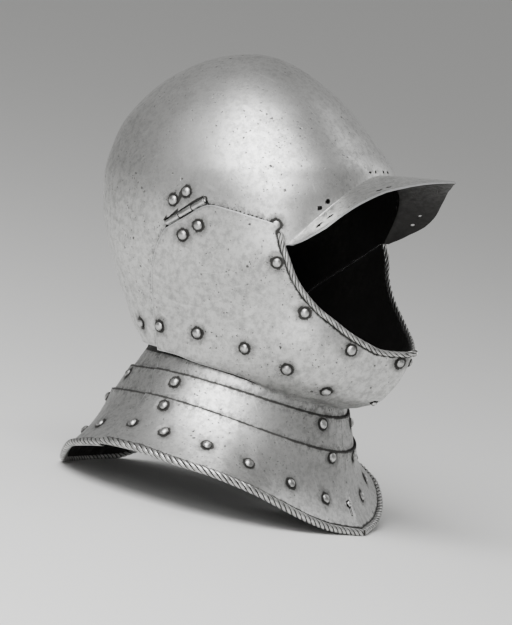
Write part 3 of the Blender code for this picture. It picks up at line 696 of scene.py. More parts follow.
def hammered_plate():
    """Slow waves left by the hammer and the grain left by grinding, in metres."""
    if "Hammered Plate" in bpy.data.node_groups:
        return bpy.data.node_groups["Hammered Plate"]
    group, given, end = start_group(
        "Hammered Plate", "ShaderNodeTree",
        [("Vector", "NodeSocketVector", None), ("Wave", NUMBER, 0.0004),
         ("Grain", NUMBER, 0.000012)],
        [("Height", NUMBER), ("Tone", NUMBER), ("Mottle", NUMBER), ("Scratch", NUMBER)])
    vector = given["Vector"]
    wave = calc(group, "MULTIPLY", noise(group, vector, 34.0, 1.0), given["Wave"])
    dents = calc(group, "MULTIPLY", noise(group, vector, 95.0, 1.0),
                 calc(group, "MULTIPLY", given["Wave"], 0.16))
    grain = calc(group, "MULTIPLY", noise(group, vector, 1500.0, 3.0, 0.7), given["Grain"])
    tone = noise(group, vector, 13.0, 6.0, 0.62)
    mottle = noise(group, vector, 210.0, 6.0, 0.76)
    lines = []
    for turn, scale in (((0.3, 0.5, 0.6), 620.0), ((1.1, 0.2, 2.1), 540.0),
                        ((0.5, 1.4, 1.2), 700.0)):
        turned = add_node(group, "ShaderNodeMapping",
                          {"Vector": vector, "Rotation": turn,
                           "Scale": (1.0, 0.035, 0.12)})
        streak = noise(group, turned.outputs[0], scale, 2.0, 0.5)
        lines.append(ease(group, streak, 0.665, 0.74))
    scratch = calc(group, "MAXIMUM", calc(group, "MAXIMUM", lines[0], lines[1]), lines[2])
    height = calc(group, "ADD", calc(group, "ADD", wave, dents), grain)
    return finish_group(group, end, {"Height": height, "Tone": tone, "Mottle": mottle,
                                     "Scratch": scratch})


def edge_marks():
    """Dirt and painted shade round rivets, darkening along ropes, painted contact shade and dirt
    in seams, and steel rubbed bright on bare edges.
    """
    if "Edge Marks" in bpy.data.node_groups:
        return bpy.data.node_groups["Edge Marks"]
    group, given, end = start_group(
        "Edge Marks", "ShaderNodeTree",
        [("Edge", NUMBER, FAR), ("Rivet", NUMBER, FAR), ("Rope", NUMBER, FAR),
         ("Seam", NUMBER, FAR), ("Mottle", NUMBER, 0.5), ("Rivet Radius", NUMBER, 3.5),
         ("Rope Radius", NUMBER, 2.8)],
        [("Grime and Shade", NUMBER), ("Rubbed", NUMBER), ("Height", NUMBER)])
    ragged = ease(group, given["Mottle"], 0.3, 0.7, -0.5, 0.7)
    rivet = calc(group, "SUBTRACT", calc(group, "ADD", given["Rivet"], ragged),
                 given["Rivet Radius"])
    # Dark ring at a rivet's foot: dirt with painted shade.
    ring = ease(group, rivet, 1.3, 2.7, 1.0, 0.0)
    halo = ease(group, rivet, 1.0, 7.0, 0.55, 0.0)
    rope = calc(group, "SUBTRACT", calc(group, "ADD", given["Rope"], ragged),
                given["Rope Radius"])
    # Darkening along the foot of the rope.
    gutter = ease(group, rope, 0.9, 2.3, 0.97, 0.0)
    edge = ease(group, calc(group, "ADD", given["Edge"], ragged), 0.7, 2.6, 0.22, 0.0)
    # Thin seam line: painted contact shade with dirt, where another plate's edge lies over this
    # one.
    near = calc(group, "MULTIPLY_ADD", ragged, 0.4, given["Seam"])
    line = ease(group, near, 0.9, 1.9, 0.97, 0.0)
    # Wide painted contact shade below the edge of the plate that lies over this one.
    contact_shade = calc(group, "MULTIPLY_ADD", ragged, 4.0, given["Seam"])
    seam = calc(group, "MAXIMUM", line, ease(group, contact_shade, 1.0, 5.5, 0.40, 0.0))
    grime_and_shade = calc(group, "MAXIMUM", calc(group, "MAXIMUM", ring, halo),
                 calc(group, "MAXIMUM", calc(group, "MAXIMUM", gutter, seam), edge))
    bare = ease(group, given["Rope"], 4.0, 7.0)
    bare = calc(group, "MULTIPLY", bare, ease(group, line, 0.0, 0.9, 1.0, 0.0))
    rubbed = calc(group, "MULTIPLY", ease(group, given["Edge"], 0.15, 0.8, 1.0, 0.0), bare)
    dimple = ease(group, given["Rivet"], 3.0, 8.5, -0.00035, 0.0)
    furrow = ease(group, calc(group, "SUBTRACT", given["Rope"], given["Rope Radius"]),
                  0.0, 1.8, -0.0004, 0.0)
    grime_and_shade = calc(group, "MINIMUM", grime_and_shade, 1.0)
    return finish_group(group, end, {"Grime and Shade": grime_and_shade, "Rubbed": rubbed,
                                     "Height": calc(group, "ADD", dimple, furrow)})


def start_steel(name, wave=None):
    """New material with its node tree, its place socket and its hammered plate node."""
    material = bpy.data.materials.new(name)
    material.use_nodes = True
    tree = material.node_tree
    place = add_node(tree, "ShaderNodeTexCoord").outputs["Object"]
    plate = add_node(tree, "ShaderNodeGroup", node_tree=hammered_plate())
    tree.links.new(place, plate.inputs["Vector"])
    if wave is not None:
        plate.inputs["Wave"].default_value = wave
    return material, tree, place, plate.outputs


def finish_steel(material, colour, rough, height, metallic=1.0):
    """Wire colour, roughness and relief into the material's own shader."""
    tree = material.node_tree
    bump = add_node(tree, "ShaderNodeBump", {"Height": height, "Distance": 1.0,
                                             "Strength": 1.0})
    shader = tree.nodes["Principled BSDF"]
    shader.inputs["Metallic"].default_value = metallic
    tree.links.new(colour, shader.inputs["Base Color"])
    tree.links.new(rough, shader.inputs["Roughness"])
    tree.links.new(bump.outputs["Normal"], shader.inputs["Normal"])
    return material


def shade(colour, tone=1.0):
    """The colour made lighter or darker, with the alpha that a socket wants."""
    return tuple(min(channel * tone, 1.0) for channel in colour) + (1.0,)


def aged_steel(name, tone, rope_radius):
    """Ground and aged steel of one kind of plate; tone is its lightness against the skull's."""
    if name in bpy.data.materials:
        return bpy.data.materials[name]
    _, finish, _ = settings()
    material, tree, place, plate = start_steel(name)
    big = add_node(tree, "ShaderNodeGroup", node_tree=rust_pits())
    small = add_node(tree, "ShaderNodeGroup", node_tree=rust_pits())
    for pits, scale, share, depth in ((big, 240.0, 0.060, 0.00020),
                                      (small, 420.0, 0.300, 0.00010)):
        tree.links.new(place, pits.inputs["Vector"])
        pits.inputs["Scale"].default_value = scale
        pits.inputs["Share"].default_value = share
        pits.inputs["Depth"].default_value = depth
    marks = add_node(tree, "ShaderNodeGroup", node_tree=edge_marks())
    for label, layer in (("Edge", "edge_mm"), ("Rivet", "rivet_mm"), ("Rope", "rope_mm"),
                         ("Seam", "seam_mm")):
        mask = add_node(tree, "ShaderNodeAttribute", attribute_name=layer)
        tree.links.new(mask.outputs["Fac"], marks.inputs[label])
    marks.inputs["Rope Radius"].default_value = rope_radius / MM
    tree.links.new(plate["Mottle"], marks.inputs["Mottle"])

    bright, dull = shade(finish.bright_steel, tone), shade(finish.dull_steel, tone)
    grime_and_shade = shade(finish.grime_and_shade)
    cloud = ease(tree, plate["Tone"], 0.36, 0.64)
    fleck = ease(tree, plate["Mottle"], 0.36, 0.60)
    patina = calc(tree, "MULTIPLY_ADD", cloud, 0.30, calc(tree, "MULTIPLY", fleck, 0.70))
    colour = blend(tree, patina, dull, bright)
    colour = blend(tree, calc(tree, "MULTIPLY", plate["Scratch"], 0.35), colour,
                   shade(bright[:3], 1.25))
    fine_pits = calc(tree, "MULTIPLY", small.outputs["Mask"], 0.85)
    pitted = calc(tree, "MINIMUM", calc(tree, "ADD", big.outputs["Mask"], fine_pits), 0.85)
    colour = blend(tree, pitted, colour, grime_and_shade)
    # Dark layer of the edge marks: dirt round rivets, with painted contact shade in seams and at
    # rivets' feet.
    colour = blend(tree, marks.outputs["Grime and Shade"], colour, grime_and_shade)
    colour = blend(tree, calc(tree, "MULTIPLY", marks.outputs["Rubbed"], 0.6), colour,
                   shade(RUBBED_EDGE))
    grime_and_shade_mask = calc(tree, "MAXIMUM", pitted, marks.outputs["Grime and Shade"])
    satin = ease(tree, plate["Mottle"], 0.25, 0.75, finish.roughness + 0.09,
                 finish.roughness - 0.05)
    rough = calc(tree, "MULTIPLY_ADD", grime_and_shade_mask, 0.25, satin)
    height = plate["Height"]
    for node in (big, small, marks):
        height = calc(tree, "ADD", height, node.outputs["Height"])
    return finish_steel(material, colour, rough, height)


def small_steel(name, tone, layer, low, high, roughness):
    """Steel of ropes, rivets and hinges: dark where the named mask is low, bright above. The dark
    is dirt at the joints of hinges and studs, painted shade towards a rivet's rim, and darkening
    in the rope's grooves.
    """
    if name in bpy.data.materials:
        return bpy.data.materials[name]
    _, finish, _ = settings()
    material, tree, _, plate = start_steel(name, 0.00025)
    mask = add_node(tree, "ShaderNodeAttribute", attribute_name=layer).outputs["Fac"]
    ragged = ease(tree, plate["Mottle"], 0.3, 0.7, -0.12, 0.12)
    clean_and_lit = ease(tree, calc(tree, "ADD", mask, ragged), low, high)
    colour = blend(tree, ease(tree, plate["Mottle"], 0.3, 0.65),
                   shade(finish.dull_steel, tone), shade(finish.bright_steel, tone))
    # Dark where the mask is low: painted shade towards a rivet dome's rim, dirt at hinge and stud
    # joints.
    colour = blend(tree, clean_and_lit, shade(finish.grime_and_shade), colour)
    rough = ease(tree, clean_and_lit, 0.0, 1.0, roughness + 0.25, roughness)
    return finish_steel(material, colour, rough, plate["Height"])


def rope_steel():
    """Steel of the roped edges, dark in the grooves between the strands."""
    return small_steel("twisted_rope", 0.98, "strand", 0.40, 0.80, 0.34)


def forge_black():
    """The unpolished inside of the plates."""
    if "forge_black" in bpy.data.materials:
        return bpy.data.materials["forge_black"]
    _, finish, _ = settings()
    material, tree, _, plate = start_steel("forge_black", 0.0016)
    mix = calc(tree, "MULTIPLY", ease(tree, plate["Tone"], 0.45, 0.75),
               ease(tree, plate["Mottle"], 0.35, 0.7))
    colour = blend(tree, mix, shade(finish.inside), shade(finish.inside, 2.4))
    rough = ease(tree, plate["Mottle"], 0.3, 0.7, 0.72, 0.5)
    return finish_steel(material, colour, rough, plate["Height"], 0.7)


# ---------------------------------------------------------------- meshes


def nearest(points):
    """Search tree over a list of points, or None for an empty list."""
    points = list(points)
    if not points:
        return None
    found = KDTree(len(points))
    for index, point in enumerate(points):
        found.insert(point, index)
    found.balance()
    return found


def keep_piece(obj, body, replaced=()):
    """Hand a finished piece to the frame."""
    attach(obj, body)
    if replaced:
        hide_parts(*replaced)
    return obj


def soften_edges(obj, width):
    soften = obj.modifiers.new("soften", "BEVEL")
    soften.width = width
    soften.segments = 2
    soften.limit_method = "ANGLE"
    soften.angle_limit = math.radians(60)


def finished(obj, name, sharp=SHARP_ANGLE):
    """The object's evaluated mesh as a new plain piece, stood on the rim."""
    bpy.context.view_layer.update()
    shape = obj.evaluated_get(bpy.context.evaluated_depsgraph_get())
    mesh = bpy.data.meshes.new_from_object(shape)
    bpy.data.objects.remove(obj, do_unlink=True)
    mesh.name = name
    while len(mesh.materials) > 1 and mesh.materials[0] is None:
        mesh.materials.pop(index=0)
    mesh.transform(STAND)
    piece = bpy.data.objects.new(name, mesh)
    bpy.context.scene.collection.objects.link(piece)
    mesh.shade_smooth()
    mesh.set_sharp_from_angle(angle=math.radians(sharp))
    return piece


def cutter_object(name, bm):
    mesh = bpy.data.meshes.new(name)
    bm.to_mesh(mesh)
    bm.free()
    return bpy.data.objects.new(name, mesh)


def add_block(bm, centre, size, turn):
    """Add a block to the mesh and give back its corners."""
    matrix = Matrix.Translation(centre) @ turn @ Matrix.Diagonal((*size, 1.0))
    return bmesh.ops.create_cube(bm, size=1.0, matrix=matrix)["verts"]


def block_cutter(name, centre, size, turn):
    bm = bmesh.new()
    add_block(bm, centre, size, turn)
    return cutter_object(name, bm)


def drill(name, holes):
    """One cutter of short round bars; each hole is a place, a direction and a radius."""
    bm = bmesh.new()
    for place, along, radius in holes:
        turn = along.to_track_quat("Z", "Y").to_matrix().to_4x4()
        bmesh.ops.create_cone(bm, cap_ends=True, segments=20, radius1=radius, radius2=radius,
                              depth=8 * MM, matrix=Matrix.Translation(place) @ turn)
    return cutter_object(name, bm)


def make_plate(name, rows, inside, material, rivets=(), rope=(), seams=(), closed=False,
               cutters=(), middle_side=0):
    """Steel plate whose outer face is the grid, with its masks for wear, dirt and painted shade.

    middle_side is 1 or -1 for a right or left half that is cut off at the middle.
    """
    sizes, _, _ = settings()
    bm = bmesh.new()
    grid = [[bm.verts.new(point) for point in row] for row in rows]
    count = len(rows[0])
    for upper, lower in zip(grid, grid[1:]):
        for i in range(count if closed else count - 1):
            j = (i + 1) % count
            bm.faces.new((upper[i], upper[j], lower[j], lower[i]))
    bmesh.ops.remove_doubles(bm, verts=bm.verts, dist=0.02 * MM)
    bmesh.ops.dissolve_degenerate(bm, edges=bm.edges, dist=0.01 * MM)
    bm.normal_update()
    facing = sum(f.normal.dot(f.calc_center_median() - inside) * f.calc_area()
                 for f in bm.faces)
    if facing < 0:
        bmesh.ops.reverse_faces(bm, faces=bm.faces)
    border = nearest(edge.verts[0].co.lerp(edge.verts[1].co, step / 4)
                     for edge in bm.edges if edge.is_boundary for step in range(4))
    for layer, points in (("edge_mm", border), ("rivet_mm", nearest(rivets)),
                          ("rope_mm", nearest(rope)), ("seam_mm", nearest(seams))):
        values = bm.verts.layers.float.new(layer)
        for vert in bm.verts:
            distance = points.find(vert.co)[2] / MM if points else FAR
            vert[values] = min(distance, FAR)
    mesh = bpy.data.meshes.new(name)
    bm.to_mesh(mesh)
    bm.free()
    mesh.materials.append(material)
    mesh.materials.append(forge_black())
    obj = bpy.data.objects.new(name + "_work", mesh)
    bpy.context.scene.collection.objects.link(obj)
    wall = obj.modifiers.new("wall", "SOLIDIFY")
    wall.thickness = sizes.plate
    wall.offset = -1
    wall.use_even_offset = True
    wall.material_offset = 1
    wall.material_offset_rim = 0
    soften_edges(obj, SOFT_EDGE)
    for cutter in cutters:
        bpy.context.scene.collection.objects.link(cutter)
        cutter.hide_render = True
        cut = obj.modifiers.new("cut", "BOOLEAN")
        cut.operation = "DIFFERENCE"
        cut.object = cutter
        cut.solver = "EXACT"
    piece = finished(obj, name)
    for cutter in cutters:
        bpy.data.objects.remove(cutter, do_unlink=True)
    if middle_side:
        cut_at_middle(piece.data, middle_side)
    return piece


def cut_at_middle(mesh, side):
    """Trim a half just short of the middle plane and close the cut."""
    bm = bmesh.new()
    bm.from_mesh(mesh)
    geometry = bm.verts[:] + bm.edges[:] + bm.faces[:]
    cut = bmesh.ops.bisect_plane(bm, geom=geometry, dist=1e-6,
                                 plane_co=(-side * GAP / 2, 0.0, 0.0),
                                 plane_no=(side, 0.0, 0.0), clear_outer=True)
    edges = [item for item in cut["geom_cut"] if isinstance(item, bmesh.types.BMEdge)]
    bmesh.ops.triangle_fill(bm, edges=edges, use_beauty=True, use_dissolve=False)
    bmesh.ops.recalc_face_normals(bm, faces=bm.faces)
    bm.to_mesh(mesh)
    bm.free()
    mesh.shade_smooth()
    mesh.set_sharp_from_angle(angle=math.radians(SHARP_ANGLE))


def finer(levels, step):
    """Levels with more between them, no further apart than step."""
    full = []
    for start, end in zip(levels, levels[1:]):
        parts = max(1, math.ceil((end - start) / step))
        full += [start + (end - start) * i / parts for i in range(parts)]
    return full + [levels[-1]]


def rivet_place(on_cheek, side, ahead, depth):
    out = CHEEK_OUT if on_cheek else 0.0
    foot = head_point(ahead * HALF_LENGTH, depth, side, out)
    tip = head_point(ahead * HALF_LENGTH, depth, side, out + PROBE)
    return foot, (tip - foot).normalized()


def head_rivets(on_cheek, side):
    """Places and directions of the rivets on the skull or on one cheek-piece."""
    return [rivet_place(on_cheek, side, ahead, depth) for _, on, ahead, depth in RIVETS
            if (on == "cheek") == on_cheek]


def on_front_half(around, down):
    return around > split_at(down)


def collar_rivets(front, side, top, bottom):
    """Places and directions of the collar's rivets between two levels, on one half."""
    found = []
    for around, down, layers in COLLAR_RIVETS:
        if top <= down < bottom and on_front_half(around, down) == front:
            out = -layers * STEP
            foot = collar_point(around, down, side, out)
            tip = collar_point(around, down, side, out + PROBE)
            found.append((foot, (tip - foot).normalized()))
    return found


def feet(rivets):
    return [foot for foot, _ in rivets]


# ---------------------------------------------------------------- geometry nodes


def rope_tree():
    """Sweeps a lobed section, twisted as it goes, along a path."""
    if "Roped Edge" in bpy.data.node_groups:
        return bpy.data.node_groups["Roped Edge"]
    tree, given, end = start_group(
        "Roped Edge", "GeometryNodeTree",
        [("Path", "NodeSocketGeometry", None), ("Radius", NUMBER, 0.0028),
         ("Strands", "NodeSocketInt", 4), ("Strand Pitch", NUMBER, 0.0050),
         ("Groove", NUMBER, 0.26), ("Material", "NodeSocketMaterial", None)],
        [("Rope", "NodeSocketGeometry")])
    path = add_node(tree, "GeometryNodeResampleCurve",
                    {"Curve": given["Path"], "Length": 0.0007}, mode="LENGTH")
    along = add_node(tree, "GeometryNodeSplineParameter")
    lay = calc(tree, "MULTIPLY", given["Strands"], given["Strand Pitch"])
    turn = calc(tree, "MULTIPLY", calc(tree, "DIVIDE", along.outputs["Length"], lay), math.tau)
    twisted = add_node(tree, "GeometryNodeSetCurveTilt",
                       {"Curve": path.outputs["Curve"], "Tilt": turn})
    ring = add_node(tree, "GeometryNodeCurvePrimitiveCircle", {"Resolution": 36, "Radius": 1.0})
    spot = add_node(tree, "GeometryNodeInputPosition").outputs[0]
    parts = add_node(tree, "ShaderNodeSeparateXYZ", {0: spot})
    angle = calc(tree, "ARCTAN2", parts.outputs[1], parts.outputs[0])
    half = calc(tree, "MULTIPLY", calc(tree, "MULTIPLY", angle, given["Strands"]), 0.5)
    lobe = calc(tree, "POWER", calc(tree, "ABSOLUTE", calc(tree, "SINE", half)), 0.6)
    marked = add_node(tree, "GeometryNodeStoreNamedAttribute",
                      {"Geometry": ring.outputs["Curve"], "Name": "strand", "Value": lobe},
                      data_type="FLOAT", domain="POINT")
    dip = calc(tree, "MULTIPLY", calc(tree, "SUBTRACT", 1.0, lobe), given["Groove"])
    reach = calc(tree, "MULTIPLY", calc(tree, "SUBTRACT", 1.0, dip), given["Radius"])
    moved = add_node(tree, "ShaderNodeVectorMath", {0: spot, "Scale": reach},
                     operation="SCALE")
    section_line = add_node(tree, "GeometryNodeSetPosition",
                            {"Geometry": marked.outputs["Geometry"],
                             "Position": moved.outputs[0]})
    swept = add_node(tree, "GeometryNodeCurveToMesh",
                     {"Curve": twisted.outputs["Curve"],
                      "Profile Curve": section_line.outputs["Geometry"], "Fill Caps": True})
    real = add_node(tree, "GeometryNodeRealizeInstances", {"Geometry": swept.outputs["Mesh"]})
    covered = add_node(tree, "GeometryNodeSetMaterial",
                       {"Geometry": real.outputs["Geometry"], "Material": given["Material"]})
    return finish_group(tree, end, {"Rope": covered.outputs["Geometry"]})


def rivet_tree():
    """Stands a low domed rivet on every point, along the point's direction."""
    if "Domed Rivets" in bpy.data.node_groups:
        return bpy.data.node_groups["Domed Rivets"]
    tree, given, end = start_group(
        "Domed Rivets", "GeometryNodeTree",
        [("Points", "NodeSocketGeometry", None), ("Radius", NUMBER, 0.0035),
         ("Height", NUMBER, 0.0024), ("Unevenness", NUMBER, 0.05), ("Seed", "NodeSocketInt", 7),
         ("Material", "NodeSocketMaterial", None)],
        [("Rivets", "NodeSocketGeometry")])
    ball = add_node(tree, "GeometryNodeMeshUVSphere",
                    {"Segments": 28, "Rings": 18, "Radius": 1.0})
    spot = add_node(tree, "GeometryNodeInputPosition").outputs[0]
    parts = add_node(tree, "ShaderNodeSeparateXYZ", {0: spot})
    below = calc(tree, "LESS_THAN", parts.outputs[2], -0.2)
    dome = add_node(tree, "GeometryNodeDeleteGeometry",
                    {"Geometry": ball.outputs["Mesh"], "Selection": below}, domain="POINT")
    # dome is the height on the dome; the rivet steel paints shade where it is low, towards the
    # rim.
    marked = add_node(tree, "GeometryNodeStoreNamedAttribute",
                      {"Geometry": dome.outputs["Geometry"], "Name": "dome",
                       "Value": parts.outputs[2]}, data_type="FLOAT", domain="POINT")
    size = add_node(tree, "ShaderNodeCombineXYZ",
                    {0: given["Radius"], 1: given["Radius"], 2: given["Height"]})
    shaped = add_node(tree, "GeometryNodeTransform",
                      {"Geometry": marked.outputs["Geometry"], "Scale": size.outputs[0]})
    aim = add_node(tree, "GeometryNodeInputNamedAttribute", {"Name": "direction"},
                   data_type="FLOAT_VECTOR")
    turn = add_node(tree, "FunctionNodeAlignRotationToVector",
                    {"Vector": aim.outputs["Attribute"]}, axis="Z")
    least = calc(tree, "SUBTRACT", 1.0, given["Unevenness"])
    most = calc(tree, "ADD", 1.0, given["Unevenness"])
    uneven = add_node(tree, "FunctionNodeRandomValue",
                      {2: least, 3: most, "Seed": given["Seed"]}, data_type="FLOAT")
    heads = add_node(tree, "GeometryNodeInstanceOnPoints",
                     {"Points": given["Points"], "Instance": shaped.outputs["Geometry"],
                      "Rotation": turn.outputs["Rotation"], "Scale": uneven.outputs[1]})
    real = add_node(tree, "GeometryNodeRealizeInstances",
                    {"Geometry": heads.outputs["Instances"]})
    covered = add_node(tree, "GeometryNodeSetMaterial",
                       {"Geometry": real.outputs["Geometry"], "Material": given["Material"]})
    return finish_group(tree, end, {"Rivets": covered.outputs["Geometry"]})


def run_tree(obj, tree, values):
    """Add the node tree as a modifier with its inputs set by the sockets' identifiers."""
    made = obj.modifiers.new(tree.name, "NODES")
    made.node_group = tree
    for item in tree.interface.items_tree:
        if item.item_type == "SOCKET" and item.in_out == "INPUT" and item.name in values:
            made[item.identifier] = values[item.name]


def make_rope(name, points, radius, material):
    sizes, _, _ = settings()
    curve = bpy.data.curves.new(name + "_path", "CURVE")
    curve.dimensions = "3D"
    line = curve.splines.new("POLY")
    line.points.add(len(points) - 1)
    for knot, point in zip(line.points, points):
        knot.co = (*point, 1.0)
    obj = bpy.data.objects.new(name + "_path", curve)
    bpy.context.scene.collection.objects.link(obj)
    run_tree(obj, rope_tree(), {"Radius": radius, "Strands": sizes.strands,
                                "Strand Pitch": sizes.strand_pitch, "Material": material})
    piece = finished(obj, name, 60.0)
    # The rope is worn flat where the helmet stands on it.
    for vert in piece.data.vertices:
        vert.co.z = max(vert.co.z, 0.0)
    return piece


def make_rivets(name, rivets, radius, height, material):
    mesh = bpy.data.meshes.new(name + "_points")
    mesh.from_pydata([foot for foot, _ in rivets], [], [])
    layer = mesh.attributes.new("direction", "FLOAT_VECTOR", "POINT")
    for item, (_, along) in zip(layer.data, rivets):
        item.vector = along
    obj = bpy.data.objects.new(name + "_points", mesh)
    bpy.context.scene.collection.objects.link(obj)
    run_tree(obj, rivet_tree(), {"Radius": radius, "Height": height, "Material": material})
    return finished(obj, name, 60.0)


def turned_bar(bm, mask, profile, foot, along, segments=28):
    """Add a round closed form to the mesh: profile rows are (radius, height, mask value)."""
    turn = along.to_track_quat("Z", "Y").to_matrix()
    rings = []
    for radius, height, value in profile:
        count = segments if radius > 0 else 1
        ring = []
        for i in range(count):
            angle = math.tau * i / segments
            spot = Vector((radius * math.cos(angle), radius * math.sin(angle), height))
            vert = bm.verts.new(foot + turn @ spot)
            vert[mask] = value
            ring.append(vert)
        rings.append(ring)
    for low, high in zip(rings, rings[1:]):
        for i in range(segments):
            j = (i + 1) % segments
            if len(low) == 1:
                bm.faces.new((low[0], high[j], high[i]))
            elif len(high) == 1:
                bm.faces.new((low[i], low[j], high[0]))
            else:
                bm.faces.new((low[i], low[j], high[j], high[i]))


def masked_piece(name, bm, material, bevel=0.0):
    """Turn the mesh that is being built into a finished piece."""
    bmesh.ops.recalc_face_normals(bm, faces=bm.faces)
    mesh = bpy.data.meshes.new(name)
    bm.to_mesh(mesh)
    bm.free()
    mesh.materials.append(material)
    obj = bpy.data.objects.new(name + "_work", mesh)
    bpy.context.scene.collection.objects.link(obj)
    if bevel:
        soften_edges(obj, bevel)
    return finished(obj, name, 40.0)


# ---------------------------------------------------------------- values in the panel


class BurgonetSizes(bpy.types.PropertyGroup):
    plate: FloatProperty(
        name="Plate", description="Thickness of the steel", default=PLATE,
        min=0.5 * MM, max=3 * MM, unit="LENGTH", precision=4)
    rope: FloatProperty(
        name="Rim Rope", description="Radius of the rope turned round the gorget's rim",
        default=ROPE_RADIUS, unit="LENGTH", precision=4)
    face_rope: FloatProperty(
        name="Face Rope", description="Radius of the rope along the face-opening",
        default=FACE_ROPE_RADIUS, unit="LENGTH", precision=4)
    strands: IntProperty(
        name="Strands", description="Strands twisted into each rope", default=4, min=2, max=9)
    strand_pitch: FloatProperty(
        name="Strand Pitch", description="Distance from one strand to the next along a rope",
        default=5.0 * MM, unit="LENGTH", precision=4)
    rivet: FloatProperty(
        name="Rivet Radius", description="Radius of the rivets' domed heads",
        default=RIVET_RADIUS, unit="LENGTH", precision=4)
    rivet_height: FloatProperty(
        name="Rivet Height", description="Height of the rivets' domed heads",
        default=RIVET_HEIGHT, unit="LENGTH", precision=4)


class BurgonetFinish(bpy.types.PropertyGroup):
    bright_steel: FloatVectorProperty(
        name="Bright Steel", description="Steel where it has been rubbed", subtype="COLOR",
        default=(0.66, 0.66, 0.65), min=0.0, max=1.0)
    dull_steel: FloatVectorProperty(
        name="Dull Steel", description="Steel where it has clouded with age", subtype="COLOR",
        default=(0.37, 0.37, 0.365), min=0.0, max=1.0)
    # Colour of dirt in pits and round rivets, and of the painted shade in seams, at rivets' feet
    # and towards rivet domes' rims.
    grime_and_shade: FloatVectorProperty(
        name="Grime and Shade", description="Dirt in pits and round rivets, painted shade in seams and at rivets' feet", subtype="COLOR",
        default=(0.055, 0.054, 0.052), min=0.0, max=1.0)
    inside: FloatVectorProperty(
        name="Inside", description="Forge-black inside of the plates", subtype="COLOR",
        default=(0.030, 0.029, 0.028), min=0.0, max=1.0)
    roughness: FloatProperty(
        name="Roughness", description="How satin the ground steel is", default=0.38,
        min=0.05, max=1.0, subtype="FACTOR")


class BurgonetStage(bpy.types.PropertyGroup):
    floor: FloatVectorProperty(
        name="Floor", description="Colour of the floor", subtype="COLOR",
        default=(0.80, 0.80, 0.79), min=0.0, max=1.0)
    surround: FloatProperty(
        name="Surround", description="Brightness of the light from all round", default=0.34,
        min=0.0)
    key_power: FloatProperty(
        name="Key Light", description="Power of the large light above", default=50.0,
        min=0.0, unit="POWER")
    fill_power: FloatProperty(
        name="Fill Light", description="Power of the light beside the camera", default=10.0,
        min=0.0, unit="POWER")
    rim_power: FloatProperty(
        name="Rim Light", description="Power of the light from behind", default=4.0,
        min=0.0, unit="POWER")
    turn: FloatProperty(
        name="View Turn", description="How far the camera stands ahead of a side view",
        default=math.radians(26.0), subtype="ANGLE")
    height: FloatProperty(
        name="View Height", description="How far the camera looks down on the worn helmet",
        default=math.radians(0.9), subtype="ANGLE")
    distance: FloatProperty(
        name="View Distance", description="How far away the camera stands", default=6.0,
        min=1.0, unit="LENGTH")


# ---------------------------------------------------------------- operators


def skull_rows(columns, dome_rows, peak_rows):
    """Grid of the skull from the crown down, with the peak as its last rows."""
    rows = [[] for _ in range(dome_rows + 1 + peak_rows)]
    for column in range(columns):
        angle = 360.0 * column / columns
        bearing = min(angle, 360.0 - angle)
        mirror = 1 if angle <= 180 else -1
        # The column nearest each temple stands exactly on the corner of the peak.
        if abs(bearing - TEMPLE_BEARING) < 180.0 / columns:
            bearing = TEMPLE_BEARING
        on_peak = bearing <= TEMPLE_BEARING
        edge = brow_depth(bearing) if on_peak else skull_edge_depth(bearing)
        for i in range(dome_rows + 1):
            share = (i / dome_rows) ** 1.2
            point = ring_point(bearing, max(edge * share, 1e-6))
            rows[i].append(Vector((point.x * mirror, point.y, point.z)))
        for i in range(1, peak_rows + 1):
            share = i / peak_rows if on_peak else 0.0
            point = peak_point(bearing, share) if on_peak else ring_point(bearing, edge)
            rows[dome_rows + i].append(Vector((point.x * mirror, point.y, point.z)))
    return rows


def peak_point(bearing, share):
    """Point on the peak; share runs from the crease to the edge."""
    crease = ring_point(bearing, brow_depth(bearing))
    outward = Vector((crease.x, crease.y, 0.0)).normalized()
    reach = spline(PEAK_EDGE, 1, bearing) * PEAK_REACH * share
    drop = spline(PEAK_EDGE, 2, bearing) * PEAK_DROP * share ** 1.5
    return crease + outward * reach - Vector((0.0, 0.0, drop))


def cheek_outline(side):
    """Rear and upper edge of a cheek-piece where it lies on the skull."""
    steps = [i / LINE_PARTS for i in range(LINE_PARTS + 1)]
    rear = [cheek_place(0.0, step, side, 0.0) for step in steps]
    return rear + [cheek_place(0.36 * step, 0.0, side, 0.0) for step in steps]


def collar_seams(name, front, side, out):
    """Lines on a plate of the collar where another plate's edge lies over it."""
    second, third = LAME_2_LEVELS[0], GORGET_LEVELS[0]
    covered = {"neck_lame_1": (0.0, 0.08, second), "neck_lame_2": (second, third),
               "gorget": (third,)}[name]
    line = [collar_point(i / SEAM_PARTS, down, side, out) for down in covered
            for i in range(SEAM_PARTS + 1)]
    if not front:
        downs = {"neck_lame_1": (0.0, second), "neck_lame_2": (second, third),
                 "gorget": (third, 3.0)}[name]
        levels = [downs[0] + (downs[1] - downs[0]) * i / 40 for i in range(41)]
        line += [collar_point(split_at(down), down, side, out) for down in levels]
    return line


def lining_holes():
    """Places, directions and radii of the holes that the lining was laced through."""
    holes = []
    for part, bearing, at, radius in LINING_HOLES:
        surface = ring_point if part == "skull" else peak_point
        place = surface(bearing, at)
        across = surface(bearing + 1.0, at) - place
        down = surface(bearing, at + 0.02) - place
        along = across.cross(down).normalized()
        for side in (1, -1):
            holes.append((Vector((side * place.x, place.y, place.z)),
                          Vector((side * along.x, along.y, along.z)), radius))
    return holes


